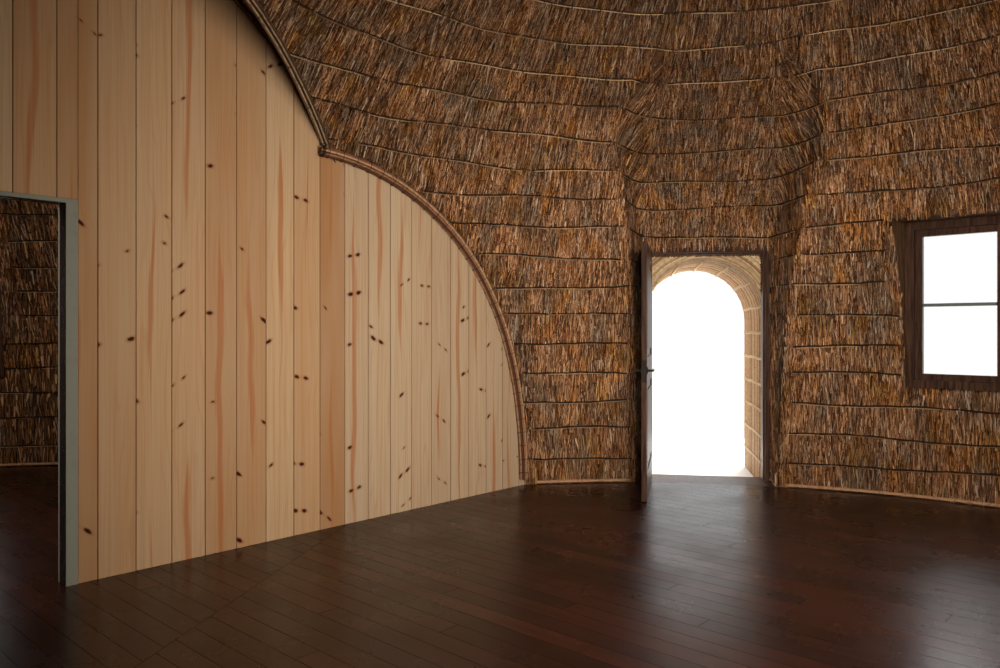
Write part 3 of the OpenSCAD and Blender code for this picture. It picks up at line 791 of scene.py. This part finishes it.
def thatch_outside(straw, cord):
    for dome, count in (("main", 55000), ("side", 46000)):
        face = Face(THATCH_NODES[dome], CENTRES[dome], False)
        ties = Ties(0.5, OUTER_TIE_STEP, 0.01, 2.0, THATCH_T)
        heap = Heap()
        add_straws(heap, face, ties, count, 0.032, (0.16, 0.36), 0.07, 0.02, 0.010)
        heap.piece(f"{dome}_straw_outside", straw, "roof_thatch")
        dark = Heap()
        add_ties(dark, Heap(), face, ties, 0.008, 0.006, 180)
        dark.piece(f"{dome}_ropes_outside", cord, "reed")


# The porch

REED_R = 0.0085
REED_STEP = 0.0165
CORNER_REED_R = 0.0078
CORNER_REED_STEP = 0.0125
CROSS_TIE_R = 0.007
CROSS_TIE_STEP = 0.235


def porch_outline(half, z0, steps=18):
    """Points up one side, over the arch and down the other, with the way into the passage."""
    turn = np.linspace(pi, 0, steps)
    arch = [(half * cos(t), SPRING_Z + half * sin(t)) for t in turn]
    foot = [(half, (z0 + SPRING_Z) / 2), (half, z0)]
    points = [(-x, z) for x, z in foot[::-1]] + arch + foot
    inward = [(1, 0)] * 2 + [(-cos(t), -sin(t)) for t in turn] + [(-1, 0)] * 2
    return np.array(points), np.array(inward, float)


def porch_reeds(reed, twig):
    """Reeds bent round the passage, reeds in the upper corners by the door, and the ties across them."""
    near, distant = PORCH_HIGH.y - 0.008, PORCH_LOW.y + 0.012
    heap = Heap()
    for y in np.arange(distant, near, REED_STEP):
        z0 = FLOOR_Z + 0.002 if y > FRAME_LOW.y - 0.01 else 0.004
        outline = porch_outline(PORCH_R - 0.004 - 0.004 * rng.random(), z0)[0]
        along = np.clip(y + 0.003 * rng.standard_normal(len(outline)), distant, near)
        path = xyz(outline[:, 0], along, outline[:, 1])
        add_tube(heap, path, REED_R, 5, rng.random(), (0, 1, 0))
    turn = np.linspace(0.02, pi / 2, 60)
    for radius in np.arange(PORCH_R + 0.006, 0.75, CORNER_REED_STEP):
        x, z = radius * np.cos(turn), SPRING_Z + radius * np.sin(turn)
        shows = (x < FRAME_HALF) & (z < HEAD_Z - 0.006)
        if shows.sum() < 3:
            continue
        for sign in (-1, 1):
            path = xyz(sign * x, PORCH_HIGH.y + 0.004 + 0.003 * rng.random(), z)[shows]
            add_tube(heap, path, CORNER_REED_R, 5, rng.random(), (0, 1, 0))
    heap.piece("porch_reeds", reed, "reed", smooth=True)
    ties = Heap()
    outline = porch_outline(PORCH_R - 0.018, 0.1, 25)[0]
    length = lengths(outline)
    y = np.linspace(distant + 0.02, near - 0.07, 14)
    for s in np.arange(0.12, length[-1], CROSS_TIE_STEP):
        x, z = (np.interp(s, length, outline[:, i]) for i in (0, 1))
        path = xyz(x, y, z + 0.004 * np.sin(9 * y + s))
        for shift in (-CROSS_TIE_R, CROSS_TIE_R):
            add_tube(ties, path + [0, 0, shift], CROSS_TIE_R, 5, rng.random(), (1, 0, 0.01))
    ties.piece("porch_cross_ties", twig, "reed", smooth=True)


def over_arch(sign, radius, bend, run, y, centre_z):
    """Points over one side of an arch of a radius, bend, and down, by how far they lie from its top.
    radius is their own one."""
    turn = np.minimum(run / bend, pi / 2)
    fall = np.maximum(run - pi * bend / 2, 0)
    return xyz(sign * radius * np.sin(turn), y, centre_z + radius * np.cos(turn) - fall)


def porch_straw(straw):
    """Straw over the porch's back, combed down from the ridge to the ground."""
    heap = Heap()
    outer = PORCH_HIGH.x
    ridge_z = PORCH_HIGH.z - outer
    count = 9000
    whole = pi * outer / 2 + ridge_z
    start = rng.random(count) * whole
    sign = rng.choice([-1, 1], count)
    y = rng.uniform(PORCH_LOW.y + 0.02, PORCH_HIGH.y - 0.01, count)
    stop = np.minimum(start + rng.uniform(0.18, 0.42, count), whole - 0.01)
    lean = 0.06 * rng.standard_normal(count)
    roll = 0.5 * rng.standard_normal(count)
    half = 0.013 * rng.uniform(0.6, 1.3, count)
    pick, seed = card_luck(count)
    rows = []
    for run, lift, taper in ((start, 0.004, 0.9), ((start + stop) / 2, 0.012, 1.0), (stop, 0.010, 0.4)):
        spine = over_arch(sign, outer + lift, outer, run, y, ridge_z)
        spine[:, 1] = np.clip(spine[:, 1] + lean * (run - start), PORCH_LOW.y + 0.005, PORCH_HIGH.y)
        edge = xyz(0, half * taper * np.cos(roll), 0.5 * half * np.sin(roll))
        rows += [spine - edge, spine + edge]
    add_cards(heap, rows, pick, seed)
    heap.piece("porch_straw", straw, "roof_thatch")


def porch_mouth_straw(straw):
    """Straw on the face round the porch's mouth, laid along its outline down to the ground."""
    heap = Heap()
    low_r, high_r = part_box("porch_hoop")[1].x + 0.002, PORCH_HIGH.x - 0.007
    count = 4200
    share = rng.random(count)
    radius = low_r + share * (high_r - low_r)
    centre_z = SPRING_Z + share * (PORCH_HIGH.z - PORCH_HIGH.x - SPRING_Z)
    whole = pi * radius / 2 + centre_z
    start = rng.random(count) * (whole + 0.05) - 0.07
    stop = np.minimum(start + rng.uniform(0.06, 0.16, count), whole - 0.012)
    sign = rng.choice([-1, 1], count)
    y = PORCH_LOW.y - 0.002 - 0.007 * rng.random(count)
    half = 0.006 * rng.uniform(0.6, 1.2, count)
    lean = 0.05 * rng.standard_normal(count)
    pick, seed = card_luck(count)
    rows = []
    for run, taper in ((start, 1.0), (stop, 0.5)):
        middle = np.clip(radius + lean * (run - start), low_r, high_r)
        rows += [over_arch(sign, middle + way * half * taper, radius, run, y - 0.001 * way, centre_z)
                 for way in (-1, 1)]
    add_cards(heap, rows, pick, seed)
    heap.piece("porch_mouth_straw", straw, "roof_thatch")


# The partition

def partition_point(x, y, z):
    c, s = cos(PARTITION_TURN), sin(PARTITION_TURN)
    return (x * c - y * s, x * s + y * c, z)


def section_height(x, y):
    """Height of the thatch over a point of the partition: the main dome's as far as the lip reaches."""
    px, py, _ = partition_point(x, y, 0)
    centre, inset = (CENTRES["main"], ARCH_IN) if px < LIP_X else (CENTRES["side"], 0.0)
    share = 1 - (hypot(px - centre, py) / (DOME_R - inset)) ** 2
    return (DOME_H - inset) * max(share, 0.0) ** (1 / DOME_ROUND)


BAND_R = 0.0022
BOARD_W = 0.195
BOARD_JOINT_Y = -0.265
BOARD_PROUD = 0.009
BOARD_CLEAR = 0.002
BOARD_UNDER = 0.006
BEVEL = 0.003
HALF_JOINT = 0.0008
GOLDEN_STEP = 0.381966
DOORWAY_LOW_Y = 1.391
DOORWAY_HIGH_Y = 2.305
INNER_JAMB = 0.057
INNER_HEAD = 0.022
# Thickness of the dark strips of painted shade in the doorway through the partition
SHADE_STRIP_T = 0.003


def board_spans():
    """Each board: its number, its left edge, the edges of what shows of it, and its foot's height."""
    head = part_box("inner_door_frame")[1].z
    first = int(np.floor((-2.6 - BOARD_JOINT_Y) / BOARD_W))
    for i in range(first, first + 60):
        a = BOARD_JOINT_Y + i * BOARD_W
        b = a + BOARD_W
        for low_y, high_y, foot in ((a, min(b, DOORWAY_LOW_Y), FLOOR_Z),
                                    (max(a, DOORWAY_LOW_Y), min(b, DOORWAY_HIGH_Y), head),
                                    (max(a, DOORWAY_HIGH_Y), b, FLOOR_Z)):
            if high_y - low_y > 0.012:
                yield i, a, low_y, high_y, foot


def lip_place(face_x):
    """Where the lip's edge crosses a face of the partition, along that face."""
    return (face_x * cos(PARTITION_TURN) - LIP_X) / sin(PARTITION_TURN)


def partition_boards(pine):
    """Tongued boards on both faces, each with bevelled edges and its top cut to the domes."""
    for side, face_x, out in (("room", PARTITION_D, -1), ("bath", PARTITION_D + PARTITION_T, 1)):
        heap = Heap()
        step_y = lip_place(face_x)
        for i, left, low_y, high_y, foot in board_spans():
            ys = np.linspace(low_y + BEVEL, high_y - BEVEL, 6)
            if ys[0] < step_y < ys[-1]:
                ys = np.sort(np.append(ys, [step_y - 0.001, step_y + 0.001]))
            ys = np.concatenate([[low_y + HALF_JOINT], ys, [high_y - HALF_JOINT]])
            tops = np.array([section_height(face_x, y) - BOARD_UNDER for y in ys])
            if (tops > foot + 0.03).sum() < 2:
                continue
            tops = np.maximum(tops, foot + BOARD_CLEAR)
            n = len(ys)
            proud = np.full(n, BOARD_PROUD)
            proud[[0, -1]] -= BEVEL
            x = face_x + out * np.concatenate([proud, proud, np.zeros(4)])
            y = np.concatenate([ys, ys, ys[[0, -1]], ys[[0, -1]]])
            z = np.concatenate([np.full(n, foot + BOARD_CLEAR), tops, np.full(2, foot + BOARD_CLEAR),
                                tops[[0, -1]]])
            quads = [(j, j + 1, n + j + 1, n + j) for j in range(n - 1)]
            quads += [(0, n, 2 * n + 2, 2 * n), (n - 1, 2 * n + 1, 2 * n + 3, 2 * n - 1)]
            pick = np.full(len(x), i * GOLDEN_STEP % 1.0)
            heap.add(xyz(*partition_point(x, y, z)), quads, np.stack([pick, (y - left) / BOARD_W], -1))
        heap.piece(f"partition_boards_{side}", pine, "pine", uv_name="board")


def inner_door_shade_strips(shade_material):
    """Thin dark strips of painted shade on the reveals and under the head of the doorway through the
    partition.
    """
    heap = Heap()
    xs = (PARTITION_D - 0.008, PARTITION_D + PARTITION_T - 0.018)
    low_y, high_y = DOORWAY_LOW_Y + INNER_JAMB, DOORWAY_HIGH_Y - INNER_JAMB
    foot, head = FLOOR_Z + SHADE_STRIP_T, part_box("inner_door_frame")[1].z - INNER_HEAD
    quads = [(0, 1, 3, 2), (4, 6, 7, 5), (0, 4, 5, 1), (2, 3, 7, 6), (0, 2, 6, 4), (1, 5, 7, 3)]
    for ys, zs in (((low_y, low_y + SHADE_STRIP_T), (foot, head - SHADE_STRIP_T)),
                   ((high_y - SHADE_STRIP_T, high_y), (foot, head - SHADE_STRIP_T)),
                   ((low_y, high_y), (head - SHADE_STRIP_T, head - 0.0002))):
        corners = [partition_point(x, y, z) for x in xs for y in ys for z in zs]
        heap.add(corners, quads, [(0.5, 0.5)] * 8)
    heap.piece("inner_door_shade_strips", shade_material, "jamb_paint")


def section_path(centre_x, x, inset, low_y, high_y, step):
    """Points at even steps where the plane at x meets a dome, inset from its face."""
    y = np.linspace(low_y, high_y, 2000)
    px, py, _ = partition_point(x, y, 0)
    share = (np.hypot(px - centre_x, py) + inset) / DOME_R
    height = DOME_H * np.maximum(1 - share ** 2, 0) ** (1 / DOME_ROUND)
    points = xyz(px, py, height)[height > FLOOR_Z]
    length = lengths(points)
    even = np.linspace(0, length[-1], max(int(length[-1] / step), 2))
    return np.stack([np.interp(even, length, points[:, i]) for i in range(3)], -1)


def add_bundle(heap, path, across, radius, strands, strand_r, twist, sides=5):
    """Stems laid side by side round a path, turning slowly about it."""
    side, over = sideways(headings(path), across)
    for k in range(strands):
        turn = (2 * pi * k / strands + twist * lengths(path))[:, None]
        line = path + radius * circling(turn, side, over)
        add_tube(heap, line, strand_r, sides, rng.random(), across)


def partition_edges(roll_reed, cord):
    """Bundled stems along both arched edges of the room side, bound at intervals."""
    heap, bands = Heap(), Heap()
    across = np.array(partition_point(1, 0, 0))
    roll_x = PARTITION_D - ROLL_R - 0.002
    lower = section_path(CENTRES["main"], roll_x, ROLL_INSET, -2.6, lip_place(roll_x) + 0.004, 0.055)
    add_tube(heap, lower, 0.019, 8, 0.0, across)
    add_bundle(heap, lower, across, ROLL_R - 0.0115, 8, 0.0088, 0.22, 6)
    roll = heap.piece("partition_roll_reeds", roll_reed, "reed", smooth=True)
    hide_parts("partition_roll")
    heap = Heap()
    upper = section_path(CENTRES["side"], PARTITION_D - 0.02, 0.035, lip_place(PARTITION_D) + 0.06, 6.2, 0.09)
    add_bundle(heap, upper, across, 0.010, 4, 0.008, 1.0)
    heap.piece("partition_edge_stems", roll_reed, "reed", smooth=True)
    for line, radius in ((lower, ROLL_R - 0.0005), (upper, 0.020)):
        for i in range(1, len(line) - 1, 2):
            add_ring(bands, line[i], line[i + 1] - line[i], across, radius, BAND_R)
    back = lower[-2] - lower[-1]
    for share in (0.10, 0.22, 0.34, 0.46):
        add_ring(bands, lower[-1] + back * share, -back, across, ROLL_R - 0.001, 0.0024)
    bands.piece("partition_edge_bands", cord, "reed", smooth=True)


def add_ring(heap, centre, axis, across, radius, thickness):
    """A cord tied once round a bundle."""
    axis = unit(axis)
    side, over = sideways(axis, across)
    turn = np.linspace(0, 2 * pi, 13)[:, None]
    path = centre + radius * circling(turn, side, over) + axis * 0.006 * (turn / pi - 1)
    add_tube(heap, path, thickness, 4, 0.3, axis)


# Stems at the lip's edge: place along x, drop, radius and tone
LIP_STEMS = ((-0.046, -0.006, 0.006, 0.1), (-0.034, 0.000, 0.0065, 0.75), (-0.022, 0.003, 0.0055, 0.0),
             (-0.011, 0.005, 0.0065, 0.95), (0.001, 0.001, 0.0065, 0.25))
LIP_INSET = ARCH_IN + 0.006


def groin_stems(reed, cord):
    """Stems along the lower edge of the thatch where the main dome ends."""
    top = acos(LIP_X / DOME_R)
    turn = np.linspace(asin((FLOOR_Z / DOME_H) ** (DOME_ROUND / 2)), top, 30)
    reach = np.sqrt(np.maximum((DOME_R * np.cos(turn)) ** 2 - LIP_X ** 2, 0)) - LIP_INSET
    height = DOME_H * np.sin(turn) ** (2 / DOME_ROUND) - LIP_INSET * turn / top
    half = xyz(LIP_X, np.maximum(reach, 0), height)
    path = np.concatenate([half * [1, -1, 1], half[-2::-1]])
    path = path[clear_of_partition(path)]
    heap, bands = Heap(), Heap()
    for run in np.split(path, np.flatnonzero(np.diff(lengths(path)) > 0.4) + 1):
        if len(run) < 3:
            continue
        for offset, drop, radius, pick in LIP_STEMS:
            line = run + [offset, 0, -drop]
            line[:, 2] += 0.0015 * np.sin(np.arange(len(run)) * 1.7 + 40 * offset)
            add_tube(heap, line, radius, 5, pick, (1, 0, 0))
        for i in range(1, len(run) - 1, 2):
            add_ring(bands, run[i] + [-0.012, 0, 0], run[i + 1] - run[i], (1, 0, 0), 0.023, BAND_R)
    heap.piece("groin_stems", reed, "reed", smooth=True)
    bands.piece("groin_bands", cord, "reed", smooth=True)


# Floor

PLANK_W = 0.115
PLANK_L = 2.4
PLANK_GAP = 0.003
PLANK_REACH = DOME_R - 0.012
FOOT_ROLL_R = 0.013


def clipped(polygon, point, normal):
    """The part of a convex outline on the inner side of a line."""
    result = []
    for a, b in zip(polygon, polygon[1:] + polygon[:1]):
        da, db = np.dot(a - point, normal), np.dot(b - point, normal)
        if da <= 0:
            result.append(a)
        if (da < 0 < db) or (db < 0 < da):
            result.append(a + (b - a) * da / (da - db))
    return result


def floor_boards(boards):
    """Boards laid square to the partition, with staggered ends, cut to each dome's floor."""
    along = np.array([cos(PARTITION_TURN), sin(PARTITION_TURN)])
    across = np.array([-along[1], along[0]])
    rim = [np.array([cos(t), sin(t)]) for t in np.linspace(0, 2 * pi, 72, endpoint=False)]
    points, faces, picks = [], [], []
    for dome, side in (("main", -1), ("side", 1)):
        centre = np.array([CENTRES[dome], 0.0])
        edges = [(np.array([JOINT_X + side * PLANK_GAP / 2, 0.0]), np.array([-side, 0.0]))]
        edges += [(centre + PLANK_REACH * way, way) for way in rim]
        for i in range(-34, 35):
            low = i * PLANK_W + across @ centre
            high = low + PLANK_W - PLANK_GAP
            for start in np.arange(-4.6 + (i * 0.618034 % 1.0) * PLANK_L, 4.4, PLANK_L):
                end = start + PLANK_L - PLANK_GAP
                shape = [along * (x + along @ centre) + across * y
                         for x, y in ((start, low), (end, low), (end, high), (start, high))]
                for point, way in edges:
                    if len(shape) > 2:
                        shape = clipped(shape, point, way)
                if len(shape) < 3:
                    continue
                n, base = len(shape), len(points)
                points += [(x, y, FLOOR_Z + rise) for rise in (0.001, -0.001) for x, y in shape]
                faces.append([base + j for j in range(n)])
                faces += [[base + j, base + n + j, base + n + (j + 1) % n, base + (j + 1) % n]
                          for j in range(n)]
                picks += [rng.random()] * (n + 1)
    mesh = bpy.data.meshes.new("floorboards")
    mesh.from_pydata(points, [], faces)
    layer = mesh.uv_layers.new(name="board")
    for polygon, pick in zip(mesh.polygons, picks):
        for loop in polygon.loop_indices:
            layer.data[loop].uv = (pick, 0.5)
    show("floorboards", mesh, boards)


def wall_foot(twig):
    """A thin roll of stems along the foot of the thatch inside."""
    heap = Heap()
    for dome, centre in CENTRES.items():
        face = Face(THATCH_NODES[dome], centre, True)
        path = []
        for azimuth in np.linspace(-pi, pi, 181):
            hit, normal, *_ = face.tree.ray_cast(Vector((centre, 0, FLOOR_Z + 0.02)), level_way(azimuth))
            path.append(None if hit is None else (np.array(hit), np.array(normal)))
        for run in runs_of(path):
            for _, place, normal in clear_parts(face, run):
                add_tube(heap, place + normal * (FOOT_ROLL_R + 0.003), FOOT_ROLL_R, 6, 0.8, normal)
    heap.piece("wall_foot_roll", twig, "reed", smooth=True)


# Crown and porch mouth

KNOT_R = 0.098


def crown_bindings(cord):
    """Cord wound round each crown's knot and laid down from it over the thatch."""
    heap = Heap()
    winds = np.linspace(0, 2 * pi * 5, 100)
    angle = np.radians(np.linspace(88, 62, 12))
    radius = (DOME_R + THATCH_T) * np.cos(angle)
    rise = (DOME_H + THATCH_T) * np.sin(angle) ** (2 / DOME_ROUND) + 0.008
    for dome, centre in CENTRES.items():
        neck_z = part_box(f"{dome}_crown")[1].z - 0.095
        height = neck_z + 0.1 * winds / winds[-1] - 0.05
        path = xyz(centre + KNOT_R * np.cos(winds), KNOT_R * np.sin(winds), height)
        add_tube(heap, path, 0.011, 5, 0.5)
        for azimuth in np.linspace(0, 2 * pi, 12, endpoint=False):
            line = xyz(centre + radius * cos(azimuth), radius * sin(azimuth), rise)
            add_tube(heap, line, 0.009, 5, 0.5)
    heap.piece("crown_bindings", cord, "reed", smooth=True)


def hoop_bindings(cord):
    """Cord wound at intervals round the roll of the porch mouth."""
    heap = Heap()
    hoop_r = (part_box("porch_hoop")[1].x - PORCH_R) / 2
    turn = np.linspace(0, pi, 9)
    inwards, outwards = (hoop_r + 0.002) * np.cos(turn), (hoop_r + 0.002) * np.sin(turn)
    for (x, z), (wx, wz) in zip(*porch_outline(PORCH_R + hoop_r, 0.12, 23)):
        path = xyz(x + inwards * wx, PORCH_LOW.y - outwards, z + inwards * wz)
        add_tube(heap, path, 0.006, 5, 0.4, (-wz, 0, wx))
    heap.piece("porch_mouth_bindings", cord, "reed", smooth=True)


# Finishes of the solids

def finish_solids(pine):
    """Gives each of the solids its finish."""
    thatch = THATCH_NODES["main"] + THATCH_NODES["side"][:-1] + ["porch_left", "porch_right", "porch_arch"]
    for material, names in (
            (thatch_bed_material(), thatch),
            (bound_reed_material(), ["porch_hoop"]),
            (plain_material("roll_core", tone(104, 68, 46), 0.8, wear=tone(78, 50, 34)), ["partition_roll"]),
            (pine, ["partition_left", "partition_over_doorway", "partition_right"]),
            (plain_material("floor_joints", tone(18, 10, 8), 0.7, wear=tone(30, 18, 14)),
             ["floor_main", "floor_side"]),
            (timber_material(),
             ["door_frame", "door_leaf", "window_frame", "window_sashes", "side_window_frame"]),
            (plain_material("dull_metal", tone(120, 116, 108), 0.38, 0.9, tone(84, 78, 70)),
             ["door_lock", "door_hinges", "frame_pintles"]),
            (plain_material("grey_green_paint", tone(138, 136, 120), 0.45, wear=tone(120, 117, 102)),
             ["inner_door_frame"]),
            (glass_material(), ["window_glass", "side_window_glass"])):
        for name in names:
            slots = frame["nodes"][name].data.materials
            slots.clear()
            slots.append(material)


# Camera, light and stage

EYE = (0.603, 3.017, FLOOR_Z + 1.30)
LOOK_X, LOOK_Y = 0.170, -0.985
STAGE_HALF = 60.0
STAGE_Z = -0.003


def camera():
    """A level view from inside the main dome towards the doorway."""
    data = bpy.data.cameras.new("camera")
    data.sensor_width = 36.0
    data.lens = 28.08
    data.shift_y = -0.004
    data.clip_start = 0.05
    view = in_scene("camera", data)
    view.location = EYE
    view.rotation_euler = (radians(90), 0, -atan2(LOOK_X, LOOK_Y))
    bpy.context.scene.camera = view


def lamp(kind, name, heading, energy):
    data = bpy.data.lights.new(name, kind)
    data.energy = energy
    piece = in_scene(name, data)
    piece.rotation_euler = Vector(heading).to_track_quat("-Z", "Y").to_euler()
    return piece


def area_lamp(name, place, target, size, power, colour=(1, 1, 1), spread=180):
    piece = lamp("AREA", name, Vector(target) - Vector(place), power)
    piece.location = place
    piece.visible_camera = False
    piece.visible_glossy = False
    piece.data.shape = "DISK"
    piece.data.size = size
    piece.data.color = colour
    piece.data.spread = radians(spread)


def sun(name, heading, strength, spread):
    lamp("SUN", name, heading, strength).data.angle = radians(spread)


def lights():
    warm = (1.0, 0.965, 0.92)
    area_lamp("room_front", (-0.2, 2.5, 1.8), (0.3, -3.8, 1.1), 1.6, 122, warm, 110)
    area_lamp("room_left", (-1.8, 0.9, 1.7), (2.2, -1.2, 1.8), 1.4, 18, (1.0, 0.93, 0.84), 100)
    area_lamp("side_room", (5.2, 0.6, 3.0), (5.2, -0.6, 0.5), 1.4, 60, warm)
    area_lamp("porch_side", (-1.3, -7.2, 1.6), (0.4, -4.6, 1.2), 1.2, 235)
    sun("day_front", (0.35, 0.75, -0.75), 1.7, 40)
    sun("day_back", (-0.5, -0.7, -0.8), 0.9, 50)


def world():
    """White where it is seen, softer where it lights."""
    data = bpy.data.worlds.new("studio")
    data.use_nodes = True
    n = Nodes(data.node_tree)
    back = data.node_tree.nodes["Background"]
    back.inputs["Color"].default_value = (1, 1, 1, 1)
    n.plug(back.inputs["Strength"], n.stretch(n.seen(), 0.0, 1.0, 0.6, 1.18))
    bpy.context.scene.world = data


def stage():
    """A wide pale floor under the hut, which shows but lights no more than it should."""
    mesh = bpy.data.meshes.new("stage_floor")
    corners = [(x * STAGE_HALF, y * STAGE_HALF, STAGE_Z) for x, y in ((-1, -1), (1, -1), (1, 1), (-1, 1))]
    mesh.from_pydata(corners, [], [(0, 1, 2, 3)])
    s = Shader("stage_floor", roughness=0.9, specular=0.1)
    s.put({"Emission Color": (1, 1, 1, 1), "Emission Strength": s.times(s.seen(), 0.30)})
    mesh.materials.append(s.finish(tone(226, 224, 220)))
    floor = in_scene("stage_floor", mesh)


def main():
    bpy.context.scene.view_settings.view_transform = "Standard"
    camera()
    world()
    lights()
    stage()
    inner_stops = [(0.0, tone(26, 15, 9)), (0.24, tone(80, 54, 36)), (0.5, tone(154, 116, 86)),
                   (0.75, tone(212, 178, 144)), (1.0, tone(255, 250, 234))]
    outer_stops = [(0.0, tone(70, 54, 40)), (0.35, tone(124, 100, 72)), (0.7, tone(164, 136, 98)),
                   (1.0, tone(202, 178, 136))]
    straw_in = straw_material("straw_inside", inner_stops, tone(200, 192, 186), tone(255, 224, 194),
                              tone(255, 232, 168), 0.4)
    straw_out = straw_material("straw_outside", outer_stops, tone(215, 212, 210), tone(255, 244, 226),
                               tone(240, 236, 226), 1.0)
    cord = plain_material("tie_cord", tone(44, 30, 21), 0.8, wear=tone(84, 60, 40))
    twig = reed_material("twig", tone(96, 68, 46), tone(196, 164, 122))
    reed = reed_material("porch_reed", tone(142, 100, 64), tone(240, 212, 168))
    roll_reed = reed_material("roll_reed", tone(78, 46, 32), tone(200, 150, 110))
    groin_reed = reed_material("groin_reed", tone(56, 40, 30), tone(176, 142, 108))
    pale_tie = reed_material("pale_tie", tone(206, 180, 138), tone(244, 228, 196))
    pine = pine_material()
    finish_solids(pine)
    thatch_inside(straw_in, cord, twig)
    thatch_outside(straw_out, cord)
    porch_reeds(reed, pale_tie)
    porch_straw(straw_out)
    partition_boards(pine)
    # Dark strips of painted shade on the reveals and head of the doorway through the partition
    inner_door_shade_strips(plain_material("painted_shade_strips", tone(34, 30, 30), 0.22, wear=tone(48, 44, 44)))
    partition_edges(roll_reed, cord)
    groin_stems(groin_reed, cord)
    floor_boards(floor_material())
    wall_foot(roll_reed)
    crown_bindings(cord)
    hoop_bindings(cord)
    porch_mouth_straw(straw_out)


main()
